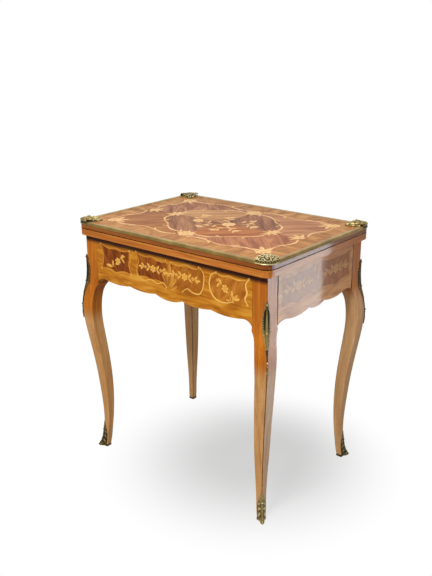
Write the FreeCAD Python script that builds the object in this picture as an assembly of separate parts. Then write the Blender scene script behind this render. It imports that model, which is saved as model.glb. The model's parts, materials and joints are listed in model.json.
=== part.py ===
import FreeCAD, Part
import math
import os

# Games table with a top that turns a quarter and unfolds, on four cabriole legs.
# Millimetres. Origin on the floor under the middle of the frame, +Z up, front towards -Y.

Vec = FreeCAD.Vector
UP = Vec(0, 0, 1)
ROOT2 = math.sqrt(2)

# Closed table
TABLE_HEIGHT = 750.0
TOP_WIDTH = 690.0
TOP_DEPTH = 492.0
TOP_CORNER_RADIUS = 25.0
TOP_OVERHANG = 15.0

# Leaves of the top
UPPER_LEAF = 19.2
LOWER_LEAF = 19.6
LEAF_GAP = 0.4          # air between the folded leaves
GLIDE_GAP = 0.8         # air between the lower leaf and the frame's rim
LEAF_EASE = 1.0         # eased edges of both leaves
BAIZE_MARGIN = 45.0
BAIZE_RECESS = 1.0
BAIZE_THICK = 0.8
BAIZE_FIT = 0.3

# Legs
POST_SIDE = 44.0
POST_LENGTH = 70.0      # straight part below the rim
ARRIS_RADIUS = 3.0
POST_EDGE_RADIUS = 0.6
LEG_EDGE_RADIUS = 2.0
KNEE_DROP = 230.0       # rim down to the fullest point of the knee
KNEE_OUT = 21.5         # swell of the arris along the corner's diagonal
KNEE_SIDE = 41.0
ANKLE_HEIGHT = 115.0
ANKLE_IN = 22.0
ANKLE_SIDE = 23.5
FOOT_IN = 15.0
FOOT_SIDE = 17.5
ARCH_RELIEF = 0.6       # keeps the curved inner face of a leg clear of an apron's end

# Curve of the arris from ankle to knee: share of height, of swing, of thickening
SHIN_CURVE = ((0.233, 0.13, 0.37), (0.49, 0.385, 0.635), (0.79, 0.82, 0.87), (0.90, 0.96, 0.945))
# Curve of the arris from knee to post: share of height, share of the swell left
KNEE_CURVE = ((0.25, 0.786),)
SHOULDER_CURVE = ((0.5, 0.286), (0.62, 0.14), (0.75, 0.048))

# Aprons
APRON_THICK = 18.0
APRON_END_DROP = 142.0      # rim down to the lower edge at the legs
FRONT_CUSP_DROP = 126.0
FRONT_LOBE_DROP = 131.5
FRONT_CENTRE_DROP = 136.0
FRONT_CUSPS = (0.175, 0.525, 0.89)   # shares of the half length, from the middle
SIDE_CUSP_DROP = 133.0
SIDE_LOBE_DROP = 140.5
SIDE_CENTRE_DROP = 141.0
SIDE_CUSPS = (0.205, 0.775)
ARCH_TURN = 0.36            # where the arch at a leg turns down, and how far it has dropped there
ARCH_FALL = 0.22
SHOULDER_GAP = 0.3
RIGHT_FRONT_GAP = 0.9       # shrinkage gap at the front end of the right apron
TENON_LENGTH = 22.0
TENON_THICK = 8.0
TENON_TOP = 12.0            # below the rim
TENON_HEIGHT = 92.0
TENON_FIT = 0.1

# Deck, well and their bearers
DECK_THICK = 20.0
DIVIDER_THICK = 18.0
WELL_DEPTH = 102.0          # rim down to the well's floor
FLOOR_THICK = 8.0
BEARER_SIDE = 12.0
CLEAT_SIDE = 15.0
BOARD_FIT = 0.3
WELL_BAIZE_THICK = 1.0
WELL_BAIZE_EDGE = 1.0

# Pivot and stop of the turning top
PIVOT_RADIUS = 7.0
PIVOT_FIT = 0.05
BUSH_WALL = 3.0
FLANGE_SIDE = 64.0
FLANGE_THICK = 4.0
SPACER_RADIUS = 25.0
SPACER_FIT = 0.05
WASHER_RADIUS = 20.0
WASHER_THICK = 2.5
WASHER_GAP = 0.1
NUT_ACROSS_FLATS = 22.0
NUT_HEIGHT = 10.0
BOLT_END = 2.0              # bolt showing below the nut
STOP_RADIUS = 4.0
STOP_ARM = 90.0             # pivot axis to stop pin
STOP_ANGLE = -60.0
STOP_RISE = 8.0
STOP_SEAT = 15.0
STOP_FIT = 0.4
STOP_HEADROOM = 1.0
TURN = 90.0

# Flap hinges at the back edge
HINGE_FROM_END = 95.0       # end of the top to the middle of a hinge
HINGE_WIDTH = 40.0
FLAP_DEPTH = 30.0           # hinge flap on the face of a leaf
FLAP_THICK = 2.2
KNUCKLE_RADIUS = 2.4
KNUCKLE_COUNT = 5
KNUCKLE_GAP = 0.2           # round a knuckle, and between it and the next one
PIN_RADIUS = 1.1
PIN_FIT = 0.05

# Screws and brass pins
SCREW_RADIUS = 1.7
SCREW_HEAD = 3.4
SCREW_HEAD_DEPTH = 1.9
SCREW_LENGTH = 13.0
DECK_SCREW_LENGTH = 32.0
DECK_SCREW_SHARES = (0.15, 0.5, 0.85)   # along a long cleat
SLOT_WIDTH = 0.8
SLOT_DEPTH = 0.8
NAIL_RADIUS = 0.8
NAIL_HEAD = 1.6
NAIL_HEAD_HEIGHT = 0.9
NAIL_LENGTH = 12.0
SHOE_NAIL_LENGTH = 7.0
TOP_NAIL_NEAR = 12.0        # pins of a corner mount, from the two edges of the top
TOP_NAIL_FAR = 30.0
KNEE_NAIL_SHARES = (0.1, 0.45)

# Brass trim of the top
BAND_WIDTH = 11.0
BAND_DROP = 4.5
BAND_DOME = 0.6
CORNER_REACH = 44.0         # corner mount along each edge
CORNER_PROUD = 2.0
CORNER_RISE = 9.0
CORNER_SKIRT = 9.0
CORNER_FAN = 43.0           # edge of the top to the crown of the fan
CORNER_ROUND = 2.5

# Brass trim of the legs
KNEE_MOUNT_DROP = 58.0      # rim down to the mount's tip
KNEE_MOUNT_LENGTH = 204.0
KNEE_MOUNT_WIDTH = 22.0
KNEE_MOUNT_TAIL = 6.0
KNEE_MOUNT_SHOULDER = 0.2   # shares of the length, down to the widest place and to the tail
KNEE_MOUNT_WAIST = 0.62
KNEE_MOUNT_CREST = 0.05     # how far down the crest is rounded, and how full it is there
KNEE_MOUNT_CREST_FULL = 0.7
KNEE_MOUNT_HOLLOW = 0.56    # how far the outline draws in above the tail
KNEE_MOUNT_TAIL_FULL = 0.8
KNEE_MOUNT_THICK = 4.5
SHOE_SOLE = 2.0
SHOE_WALL = 1.8
SHOE_HEIGHT = 12.0
SHOE_LEAF_HEIGHT = 92.0
SHOE_LEAF_WIDTH = 17.0
SHOE_LEAF_THICK = 4.0
SHOE_LEAF_BASE = 0.75       # fullness of the leaf below its widest place and halfway up
SHOE_LEAF_RISE = 0.3
SHOE_LEAF_FULL = 0.8
SHOE_NAIL_SHARE = 0.6       # of the shoe's height
TOE_REACH = 14.0
TOE_RADIUS = 8.0
TOE_WIDTH = 12.0
TOE_LIFT = 1.5

# Levels and lines that follow from the sizes above
UPPER_BOTTOM = TABLE_HEIGHT - UPPER_LEAF
LOWER_TOP = UPPER_BOTTOM - LEAF_GAP
LOWER_BOTTOM = LOWER_TOP - LOWER_LEAF
RIM = LOWER_BOTTOM - GLIDE_GAP
HALF_TOP_X = TOP_WIDTH / 2
HALF_TOP_Y = TOP_DEPTH / 2
HALF_X = HALF_TOP_X - TOP_OVERHANG
HALF_Y = HALF_TOP_Y - TOP_OVERHANG
POST_X = HALF_X - POST_SIDE
POST_Y = HALF_Y - POST_SIDE
INSIDE_X = HALF_X - APRON_THICK
INSIDE_Y = HALF_Y - APRON_THICK
DECK_BOTTOM = RIM - DECK_THICK
WELL_FLOOR = RIM - WELL_DEPTH
PIVOT = TOP_DEPTH / 4       # both ways from the middle, so that the opened top is centred
HINGE_X = HALF_TOP_X - HINGE_FROM_END
PIN_Y = HALF_TOP_Y + LEAF_GAP / 2   # the opened leaves lie edge to edge, as far apart as when closed
SEAM = (LOWER_TOP + UPPER_BOTTOM) / 2

CORNERS = {
    "front_left": (-1, -1),
    "front_right": (1, -1),
    "back_left": (-1, 1),
    "back_right": (1, 1),
}
SIDES = {"left": -1, "right": 1}


def box(low, high):
    return Part.makeBox(high[0] - low[0], high[1] - low[1], high[2] - low[2], Vec(*low))


def line(start, end):
    return Part.LineSegment(start, end).toShape()


def arc(start, middle, end):
    return Part.Arc(start, middle, end).toShape()


def extrude(edges, direction):
    return Part.Face(Part.Wire(edges)).extrude(direction)


def upright(radius, x, y, low, high):
    return Part.makeCylinder(radius, high - low, Vec(x, y, low), UP)


def in_corner(shape, corner):
    # A shape drawn for the back right corner, mirrored into another corner.
    side_x, side_y = CORNERS[corner]
    if side_x < 0:
        shape = shape.mirror(Vec(0, 0, 0), Vec(1, 0, 0))
    if side_y < 0:
        shape = shape.mirror(Vec(0, 0, 0), Vec(0, 1, 0))
    return shape


def in_all_corners(shapes):
    return Part.makeCompound([in_corner(shape, corner) for corner in CORNERS for shape in shapes])


def above_seam(shape):
    # A hinge piece of the lower leaf, mirrored to the upper leaf.
    return shape.mirror(Vec(0, 0, SEAM), UP)


def rounded_outline(low_x, low_y, high_x, high_y, radii, z):
    # Rectangle with one radius for each corner, from the high corner counterclockwise.
    corners = ((high_x, high_y), (low_x, high_y), (low_x, low_y), (high_x, low_y))
    inward = ((-1, -1), (1, -1), (1, 1), (-1, 1))
    arcs = []
    for index in range(4):
        radius = radii[index]
        centre_x = corners[index][0] + inward[index][0] * radius
        centre_y = corners[index][1] + inward[index][1] * radius
        points = []
        for share in (0, 0.5, 1):
            turn = math.radians(90 * (index + share))
            points.append(Vec(centre_x + radius * math.cos(turn), centre_y + radius * math.sin(turn), z))
        arcs.append(points)
    edges = []
    for index in range(4):
        edges.append(arc(*arcs[index]))
        edges.append(line(arcs[index][2], arcs[(index + 1) % 4][0]))
    return edges


def leg_outline(height, out, side, edge_radius, grow):
    # Section of the back right leg, placed by its outer arris.
    arris_x = HALF_X + out / ROOT2 + grow
    arris_y = HALF_Y + out / ROOT2 + grow
    full = side + 2 * grow
    radii = (ARRIS_RADIUS, edge_radius, ARRIS_RADIUS, edge_radius)
    return rounded_outline(arris_x - full, arris_y - full, arris_x, arris_y, radii, height)


def leg_stations(foot):
    # Height, swing of the arris and thickness of each section, from the foot to the top of the knee.
    knee = RIM - KNEE_DROP
    post = RIM - POST_LENGTH
    stations = [(foot, -FOOT_IN, FOOT_SIDE)]
    stations.append(((foot + ANKLE_HEIGHT) / 2, -(FOOT_IN + 3 * ANKLE_IN) / 4, (FOOT_SIDE + ANKLE_SIDE) / 2))
    stations.append((ANKLE_HEIGHT, -ANKLE_IN, ANKLE_SIDE))
    for height, swing, swell in SHIN_CURVE:
        stations.append((
            ANKLE_HEIGHT + height * (knee - ANKLE_HEIGHT),
            -ANKLE_IN + swing * (KNEE_OUT + ANKLE_IN),
            ANKLE_SIDE + swell * (KNEE_SIDE - ANKLE_SIDE),
        ))
    stations.append((knee, KNEE_OUT, KNEE_SIDE))
    for height, left in KNEE_CURVE:
        stations.append((knee + height * (post - knee), KNEE_OUT * left, KNEE_SIDE))
    return stations


def shoulder_stations():
    # Sections from the top of the knee to the post, with an upright inner face for the aprons' ends.
    knee = RIM - KNEE_DROP
    post = RIM - POST_LENGTH
    stations = []
    for height, left in SHOULDER_CURVE:
        out = KNEE_OUT * left
        stations.append((knee + height * (post - knee), out, POST_SIDE + out / ROOT2 - ARCH_RELIEF))
    stations.append((post, 0, POST_SIDE))
    return stations


def leg_wires(stations, grow):
    wires = []
    for height, out, side in stations:
        edge = LEG_EDGE_RADIUS if height < RIM - KNEE_DROP else POST_EDGE_RADIUS
        wires.append(Part.Wire(leg_outline(height, out, side, edge, grow)))
    return wires


def leg_blank(foot, grow=0.0):
    # Solid leg of the back right corner; grow thickens it all round, for the brass that wraps it.
    shoulder = leg_wires(shoulder_stations(), grow)
    curved = Part.makeLoft(leg_wires(leg_stations(foot), grow) + shoulder[:1], True, False)
    upper = Part.makeLoft(shoulder, True, True)
    outline = leg_outline(RIM - POST_LENGTH, 0, POST_SIDE, POST_EDGE_RADIUS, grow)
    post = extrude(outline, Vec(0, 0, POST_LENGTH))
    return curved.fuse([upper, post])


def tenon_box(along, across, fit, root):
    # Tenon of an apron at the back right post: along runs into the post, across is the apron's outer face,
    # and root is how far the tenon reaches back into its board.
    middle = across - APRON_THICK / 2
    half = TENON_THICK / 2 + fit
    top = RIM - TENON_TOP
    low = (along - root - fit, middle - half, top - TENON_HEIGHT - fit)
    high = (along + TENON_LENGTH + fit, middle + half, top + fit)
    return low, high


def back_tenon(fit=0.0, root=0.0):
    low, high = tenon_box(POST_X, HALF_Y, fit, root)
    return box(low, high)


def side_tenon(fit=0.0, root=0.0):
    low, high = tenon_box(POST_Y, HALF_X, fit, root)
    return box((low[1], low[0], low[2]), (high[1], high[0], high[2]))


def apron_edge(half, cusps, drops, point):
    # Lower edge of an apron from end to end: drops are those of its cusps, lobes and middle lobe,
    # and point turns (along, height) into a place.
    cusp, lobe, centre = [RIM - drop for drop in drops]
    foot = RIM - APRON_END_DROP
    places = [-half] + [-share * half for share in reversed(cusps)]
    places += [share * half for share in cusps] + [half]
    edges = []
    last = len(places) - 2
    for index in range(len(places) - 1):
        start = places[index]
        end = places[index + 1]
        middle = (start + end) / 2
        start_z = cusp
        end_z = cusp
        middle_z = lobe
        if index == 0:
            start_z = foot
            middle = start + ARCH_TURN * (end - start)
            middle_z = cusp - ARCH_FALL * (cusp - foot)
        elif index == last:
            end_z = foot
            middle = end - ARCH_TURN * (end - start)
            middle_z = cusp - ARCH_FALL * (cusp - foot)
        elif index == last / 2:
            middle_z = centre
        edges.append(arc(point(start, start_z), point(middle, middle_z), point(end, end_z)))
    return edges


def apron(half, cusps, drops, point, inward):
    # Shaped board with its outer face at point and its thickness inward, without tenons.
    edges = apron_edge(half, cusps, drops, point)
    low_right = point(half, RIM - APRON_END_DROP)
    high_right = point(half, RIM)
    high_left = point(-half, RIM)
    low_left = point(-half, RIM - APRON_END_DROP)
    edges += [line(low_right, high_right), line(high_right, high_left), line(high_left, low_left)]
    return extrude(edges, inward)


def long_apron():
    # Apron of the back, with a tenon at each end.
    drops = (FRONT_CUSP_DROP, FRONT_LOBE_DROP, FRONT_CENTRE_DROP)
    half = POST_X - SHOULDER_GAP
    board = apron(half, FRONT_CUSPS, drops, lambda x, z: Vec(x, HALF_Y, z), Vec(0, -APRON_THICK, 0))
    right = back_tenon(root=APRON_THICK)
    left = right.mirror(Vec(0, 0, 0), Vec(1, 0, 0))
    return board.fuse([right, left]).removeSplitter()


def side_apron(front_gap):
    # Apron of the right side, with a tenon at each end and its own gap at the front shoulder.
    drops = (SIDE_CUSP_DROP, SIDE_LOBE_DROP, SIDE_CENTRE_DROP)
    half = POST_Y - SHOULDER_GAP
    board = apron(half, SIDE_CUSPS, drops, lambda y, z: Vec(HALF_X, y, z), Vec(-APRON_THICK, 0, 0))
    board = board.common(box((0, front_gap - POST_Y, 0), (HALF_X, POST_Y, RIM)))
    back = side_tenon(root=APRON_THICK)
    front = back.mirror(Vec(0, 0, 0), Vec(0, 1, 0))
    return board.fuse([back, front]).removeSplitter()


def post_notches():
    # Room for the four posts in the boards between the aprons.
    notches = []
    for corner in CORNERS:
        notch = box((POST_X - BOARD_FIT, POST_Y - BOARD_FIT, 0), (HALF_X, HALF_Y, RIM + GLIDE_GAP))
        notches.append(in_corner(notch, corner))
    return notches


def deck_board():
    reach_x = INSIDE_X - BOARD_FIT
    reach_y = INSIDE_Y - BOARD_FIT
    board = box((-DIVIDER_THICK / 2, -reach_y, DECK_BOTTOM), (reach_x, reach_y, RIM))
    holes = post_notches()
    holes.append(upright(PIVOT_RADIUS + PIVOT_FIT + BUSH_WALL, PIVOT, PIVOT, DECK_BOTTOM, RIM))
    holes.append(upright(STOP_RADIUS, stop_x(), stop_y(), RIM - STOP_SEAT, RIM))
    return board.cut(holes)


def well_divider():
    reach_y = INSIDE_Y - BOARD_FIT
    return box((-DIVIDER_THICK / 2, -reach_y, WELL_FLOOR), (DIVIDER_THICK / 2, reach_y, DECK_BOTTOM))


def well_floor():
    reach_y = INSIDE_Y - BOARD_FIT
    low = (BOARD_FIT - INSIDE_X, -reach_y, WELL_FLOOR - FLOOR_THICK)
    board = box(low, (DIVIDER_THICK / 2, reach_y, WELL_FLOOR))
    return board.cut(post_notches())


def well_baize():
    edge = WELL_BAIZE_EDGE
    low = (edge - INSIDE_X, edge - INSIDE_Y, WELL_FLOOR)
    high = (-DIVIDER_THICK / 2 - edge, INSIDE_Y - edge, WELL_FLOOR + WELL_BAIZE_THICK)
    room = box((POST_X - edge, POST_Y - edge, 0), (HALF_X, HALF_Y, RIM))
    return box(low, high).cut([in_corner(room, "front_left"), in_corner(room, "back_left")])


def floor_bearer():
    # Strip under the well's floor along the back apron.
    top = WELL_FLOOR - FLOOR_THICK
    low = (BOARD_FIT - POST_X, INSIDE_Y - BEARER_SIDE, top - BEARER_SIDE)
    return box(low, (DIVIDER_THICK / 2, INSIDE_Y, top))


def long_cleat():
    # Strip under the deck along the back apron.
    low = (DIVIDER_THICK / 2 + BOARD_FIT, INSIDE_Y - CLEAT_SIDE, DECK_BOTTOM - CLEAT_SIDE)
    return box(low, (POST_X - BOARD_FIT, INSIDE_Y, DECK_BOTTOM))


def side_cleat():
    reach = POST_Y - CLEAT_SIDE
    return box((INSIDE_X - CLEAT_SIDE, -reach, DECK_BOTTOM - CLEAT_SIDE), (INSIDE_X, reach, DECK_BOTTOM))


def wood_screw(x, y, z, length, slotted=True):
    # Countersunk screw pointing down, its head flush with the face at z.
    profile = [
        Vec(0, 0, 0),
        Vec(SCREW_HEAD, 0, 0),
        Vec(SCREW_RADIUS, 0, -SCREW_HEAD_DEPTH),
        Vec(SCREW_RADIUS, 0, SCREW_RADIUS - length),
        Vec(0, 0, -length),
        Vec(0, 0, 0),
    ]
    screw = Part.Face(Part.makePolygon(profile)).revolve(Vec(0, 0, 0), UP, 360)
    if slotted:
        slot = box((-SCREW_HEAD, -SLOT_WIDTH / 2, -SLOT_DEPTH), (SCREW_HEAD, SLOT_WIDTH / 2, SLOT_DEPTH))
        screw = screw.cut(slot)
    screw.translate(Vec(x, y, z))
    return screw


def deck_screw_places():
    # Three screws into each long cleat and two into the side cleat.
    middle_y = INSIDE_Y - CLEAT_SIDE / 2
    places = []
    for share in DECK_SCREW_SHARES:
        for side in (-1, 1):
            places.append((share * POST_X, side * middle_y))
    for side in (-1, 1):
        places.append((INSIDE_X - CLEAT_SIDE / 2, side * POST_Y / 2))
    return places


def deck_screws(slotted=True):
    return [wood_screw(x, y, RIM, DECK_SCREW_LENGTH, slotted) for x, y in deck_screw_places()]


def stop_x():
    return PIVOT + STOP_ARM * math.cos(math.radians(STOP_ANGLE))


def stop_y():
    return PIVOT + STOP_ARM * math.sin(math.radians(STOP_ANGLE))


def stop_groove():
    # Quarter ring under the lower leaf that the stop pin runs in as the top turns.
    half = STOP_RADIUS + STOP_FIT
    top = RIM + STOP_RISE + STOP_HEADROOM
    low = Vec(STOP_ARM - half, 0, LOWER_BOTTOM)
    profile = [
        low,
        Vec(STOP_ARM + half, 0, LOWER_BOTTOM),
        Vec(STOP_ARM + half, 0, top),
        Vec(STOP_ARM - half, 0, top),
        low,
    ]
    track = Part.Face(Part.makePolygon(profile)).revolve(Vec(0, 0, 0), UP, TURN)
    track.rotate(Vec(0, 0, 0), UP, STOP_ANGLE - TURN)
    track.translate(Vec(PIVOT, PIVOT, 0))
    groove = track.fuse(upright(half, stop_x(), stop_y(), LOWER_BOTTOM, top))
    far_end = upright(half, stop_x(), stop_y(), LOWER_BOTTOM, top)
    far_end.rotate(Vec(PIVOT, PIVOT, 0), UP, -TURN)
    return groove.fuse(far_end)


def flange_plate():
    # Square plate of the pivot bolt, let into the underside of the lower leaf.
    half = FLANGE_SIDE / 2
    low = (PIVOT - half, PIVOT - half, LOWER_BOTTOM)
    return box(low, (PIVOT + half, PIVOT + half, LOWER_BOTTOM + FLANGE_THICK))


def pivot_bolt():
    end = DECK_BOTTOM - WASHER_GAP - WASHER_THICK - NUT_HEIGHT - BOLT_END
    shank = upright(PIVOT_RADIUS, PIVOT, PIVOT, end, LOWER_BOTTOM)
    return flange_plate().fuse(shank)


def flange_screws(slotted=True):
    # Four screws up into the lower leaf, one near each corner of the flange.
    arm = FLANGE_SIDE / 2 - 2 * SCREW_HEAD
    screws = []
    for side_x in (-1, 1):
        for side_y in (-1, 1):
            x = PIVOT + side_x * arm
            y = PIVOT + side_y * arm
            screw = wood_screw(x, y, LOWER_BOTTOM, SCREW_LENGTH, slotted)
            screws.append(screw.mirror(Vec(0, 0, LOWER_BOTTOM), UP))
    return screws


def ring(outer, inner, low, high):
    return upright(outer, PIVOT, PIVOT, low, high).cut(upright(inner, PIVOT, PIVOT, low, high))


def pivot_nut():
    top = DECK_BOTTOM - WASHER_GAP - WASHER_THICK
    radius = NUT_ACROSS_FLATS / math.sqrt(3)
    points = []
    for index in range(7):
        turn = math.radians(60 * index)
        points.append(Vec(PIVOT + radius * math.cos(turn), PIVOT + radius * math.sin(turn), top - NUT_HEIGHT))
    hexagon = Part.Face(Part.makePolygon(points)).extrude(Vec(0, 0, NUT_HEIGHT))
    return hexagon.cut(upright(PIVOT_RADIUS, PIVOT, PIVOT, top - NUT_HEIGHT, top))


def top_outline(z):
    radii = (TOP_CORNER_RADIUS,) * 4
    return rounded_outline(-HALF_TOP_X, -HALF_TOP_Y, HALF_TOP_X, HALF_TOP_Y, radii, z)


def leaf_blank(low, high):
    # Board with rounded corners in plan and eased edges at the seam and underneath.
    board = extrude(top_outline(low), Vec(0, 0, high - low))
    eased = []
    for edge in board.Edges:
        level = edge.CenterOfMass.z
        flat = edge.BoundBox.ZLength < LEAF_EASE
        if flat and level < TABLE_HEIGHT - LEAF_EASE:
            eased.append(edge)
    return board.makeFillet(LEAF_EASE, eased)


def baize_box(low, high, fit):
    reach_x = HALF_TOP_X - BAIZE_MARGIN - fit
    reach_y = HALF_TOP_Y - BAIZE_MARGIN - fit
    return box((-reach_x, -reach_y, low), (reach_x, reach_y, high))


def hinge_barrel(side, start, end, radius):
    # Round bar on the hinge's axis between two places, counted from the hinge's middle.
    return Part.makeCylinder(radius, end - start, Vec(side * HINGE_X + start, PIN_Y, SEAM), Vec(1, 0, 0))


def hinge_pin(side, fit=0.0):
    return hinge_barrel(side, -HINGE_WIDTH / 2, HINGE_WIDTH / 2, PIN_RADIUS + fit)


def knuckle_room(side):
    # Hollow along the back edges of both leaves that a hinge's knuckles lie in.
    reach = HINGE_WIDTH / 2 + KNUCKLE_GAP
    return hinge_barrel(side, -reach, reach, KNUCKLE_RADIUS + KNUCKLE_GAP)


def hinge_seat(side):
    # Recess for a hinge flap in the lower leaf's face.
    x = side * HINGE_X
    low = (x - HINGE_WIDTH / 2, HALF_TOP_Y - FLAP_DEPTH, LOWER_TOP - FLAP_THICK)
    return box(low, (x + HINGE_WIDTH / 2, HALF_TOP_Y, LOWER_TOP))


def hinge_screws(side, slotted=True):
    # Four screws through a lower hinge flap.
    edge = 2 * SCREW_HEAD
    screws = []
    for reach in (FLAP_DEPTH / 2, FLAP_DEPTH - edge):
        for way in (-1, 1):
            x = side * HINGE_X + way * (HINGE_WIDTH / 2 - edge)
            screws.append(wood_screw(x, HALF_TOP_Y - reach, LOWER_TOP, SCREW_LENGTH, slotted))
    return screws


def hinge_flap(side, first, fit):
    # Flap drawn on the lower leaf, with every other knuckle from the first one and fit round the pin.
    pitch = HINGE_WIDTH / KNUCKLE_COUNT
    ease = KNUCKLE_GAP / 2
    flap = hinge_seat(side)
    for index in range(KNUCKLE_COUNT):
        start = index * pitch - HINGE_WIDTH / 2
        end = start + pitch
        if index % 2 == first:
            flap = flap.fuse(hinge_barrel(side, start + ease, end - ease, KNUCKLE_RADIUS))
        else:
            flap = flap.cut(hinge_barrel(side, start - ease, end + ease, KNUCKLE_RADIUS + KNUCKLE_GAP))
    return flap.cut([hinge_pin(side, fit)] + hinge_screws(side, False))


def lower_leaf():
    board = leaf_blank(LOWER_BOTTOM, LOWER_TOP)
    waste = [baize_box(LOWER_TOP - BAIZE_RECESS, LOWER_TOP, 0), flange_plate(), stop_groove()]
    waste += flange_screws(False)
    for side in SIDES.values():
        waste += [hinge_seat(side), knuckle_room(side)]
        waste += hinge_screws(side, False)
    return board.cut(waste)


def upper_leaf():
    board = leaf_blank(UPPER_BOTTOM, TABLE_HEIGHT)
    waste = [baize_box(UPPER_BOTTOM, UPPER_BOTTOM + BAIZE_RECESS, 0)]
    for side in SIDES.values():
        waste += [above_seam(hinge_seat(side)), knuckle_room(side)]
        waste += [above_seam(screw) for screw in hinge_screws(side, False)]
    waste += band_rebates()
    waste += top_nails()
    return board.cut(waste)


def band_rebates():
    # Straight rebates for the brass band, between the corner mounts.
    floor = TABLE_HEIGHT - BAND_DROP
    run_x = HALF_TOP_X - CORNER_REACH
    run_y = HALF_TOP_Y - CORNER_REACH
    back = box((-run_x, HALF_TOP_Y - BAND_WIDTH, floor), (run_x, HALF_TOP_Y, TABLE_HEIGHT))
    right = box((HALF_TOP_X - BAND_WIDTH, -run_y, floor), (HALF_TOP_X, run_y, TABLE_HEIGHT))
    front = back.mirror(Vec(0, 0, 0), Vec(0, 1, 0))
    left = right.mirror(Vec(0, 0, 0), Vec(1, 0, 0))
    return [front, back, left, right]


def edge_band(point, run, way, outer_dome):
    # Brass moulding with a domed face; point turns (outward, up) into a place at its start.
    inner_low = point(-BAND_WIDTH, -BAND_DROP)
    inner_high = point(-BAND_WIDTH, 0)
    rim = point(0, 0)
    outer_low = point(0, -BAND_DROP)
    edges = [line(inner_low, inner_high), arc(inner_high, point(-BAND_WIDTH / 2, BAND_DOME), rim)]
    if outer_dome > 0:
        edges.append(arc(rim, point(outer_dome, -BAND_DROP / 2), outer_low))
    else:
        edges.append(line(rim, outer_low))
    edges.append(line(outer_low, inner_low))
    return extrude(edges, way * run)


def edge_bands():
    # The back band is flush with the edge, which meets the other leaf when the top is open.
    run_x = HALF_TOP_X - CORNER_REACH
    run_y = HALF_TOP_Y - CORNER_REACH
    way_x = Vec(1, 0, 0)
    way_y = Vec(0, 1, 0)
    top = TABLE_HEIGHT
    return {
        "front": edge_band(lambda u, v: Vec(-run_x, -HALF_TOP_Y - u, top + v), 2 * run_x, way_x, BAND_DOME),
        "back": edge_band(lambda u, v: Vec(-run_x, HALF_TOP_Y + u, top + v), 2 * run_x, way_x, 0),
        "left": edge_band(lambda u, v: Vec(-HALF_TOP_X - u, -run_y, top + v), 2 * run_y, way_y, BAND_DOME),
        "right": edge_band(lambda u, v: Vec(HALF_TOP_X + u, -run_y, top + v), 2 * run_y, way_y, BAND_DOME),
    }


def corner_casting():
    # Corner mount of the back right corner: a fan on the top and a skirt round the leaf's corner.
    reach_x = HALF_TOP_X - CORNER_REACH
    reach_y = HALF_TOP_Y - CORNER_REACH
    far_x = HALF_TOP_X + CORNER_PROUD
    far_y = HALF_TOP_Y + CORNER_PROUD
    centre = Vec(HALF_TOP_X - TOP_CORNER_RADIUS, HALF_TOP_Y - TOP_CORNER_RADIUS, 0)
    radius = TOP_CORNER_RADIUS + CORNER_PROUD
    points = [
        Vec(far_x, reach_y, 0),
        Vec(far_x, centre.y, 0),
        centre + Vec(radius / ROOT2, radius / ROOT2, 0),
        Vec(centre.x, far_y, 0),
        Vec(reach_x, far_y, 0),
        Vec(reach_x, HALF_TOP_Y - BAND_WIDTH, 0),
        Vec(HALF_TOP_X - CORNER_FAN, HALF_TOP_Y - CORNER_FAN, 0),
        Vec(HALF_TOP_X - BAND_WIDTH, reach_y, 0),
    ]
    edges = [line(points[0], points[1]), arc(points[1], points[2], points[3]), line(points[3], points[4])]
    edges += [line(points[4], points[5]), arc(points[5], points[6], points[7]), line(points[7], points[0])]
    casting = extrude(edges, Vec(0, 0, CORNER_SKIRT + CORNER_RISE))
    casting.translate(Vec(0, 0, TABLE_HEIGHT - CORNER_SKIRT))
    crown = [edge for edge in casting.Edges if edge.BoundBox.ZMin > TABLE_HEIGHT + CORNER_RISE / 2]
    casting = casting.makeFillet(CORNER_ROUND, crown)
    return casting.cut(extrude(top_outline(UPPER_BOTTOM), Vec(0, 0, UPPER_LEAF)))


def corner_mount(corner):
    # The two back mounts stop at the back edge, clear of the other leaf when the top is open.
    casting = corner_casting()
    if CORNERS[corner][1] > 0:
        casting = casting.common(box((0, 0, 0), (TOP_WIDTH, HALF_TOP_Y, 2 * TABLE_HEIGHT)))
    return in_corner(casting, corner).cut(top_nails())


def nail(place, way, length=NAIL_LENGTH):
    # Round-headed brass pin: place is the surface under its head, way points out of the surface.
    shank = Part.makeCylinder(NAIL_RADIUS, length, place - way * length, way)
    head = Part.makeCone(NAIL_HEAD, NAIL_RADIUS, NAIL_HEAD_HEIGHT, place, way)
    return shank.fuse(head)


def top_nails():
    # Two pins through each corner mount into the upper leaf.
    nails = []
    for corner in CORNERS:
        for inset_x, inset_y in ((TOP_NAIL_NEAR, TOP_NAIL_FAR), (TOP_NAIL_FAR, TOP_NAIL_NEAR)):
            place = Vec(HALF_TOP_X - inset_x, HALF_TOP_Y - inset_y, TABLE_HEIGHT + CORNER_RISE)
            nails.append(in_corner(nail(place, UP), corner))
    return nails


def wrapped(outline, thick, foot):
    # Brass leaf wrapped round the arris of the back right leg inside an outline of (across, height).
    def place(across, height):
        return Vec(HALF_X - POST_SIDE / 2 + across / ROOT2, HALF_Y - POST_SIDE / 2 - across / ROOT2, height)

    right = []
    left = []
    for start, middle, end in outline:
        right.append(arc(place(*start), place(*middle), place(*end)))
        left.insert(0, arc(place(-end[0], end[1]), place(-middle[0], middle[1]), place(-start[0], start[1])))
    outward = Vec(POST_SIDE, POST_SIDE, 0)
    leaf = extrude(right + left, outward)
    return leaf.common(leg_blank(foot, thick))


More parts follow.
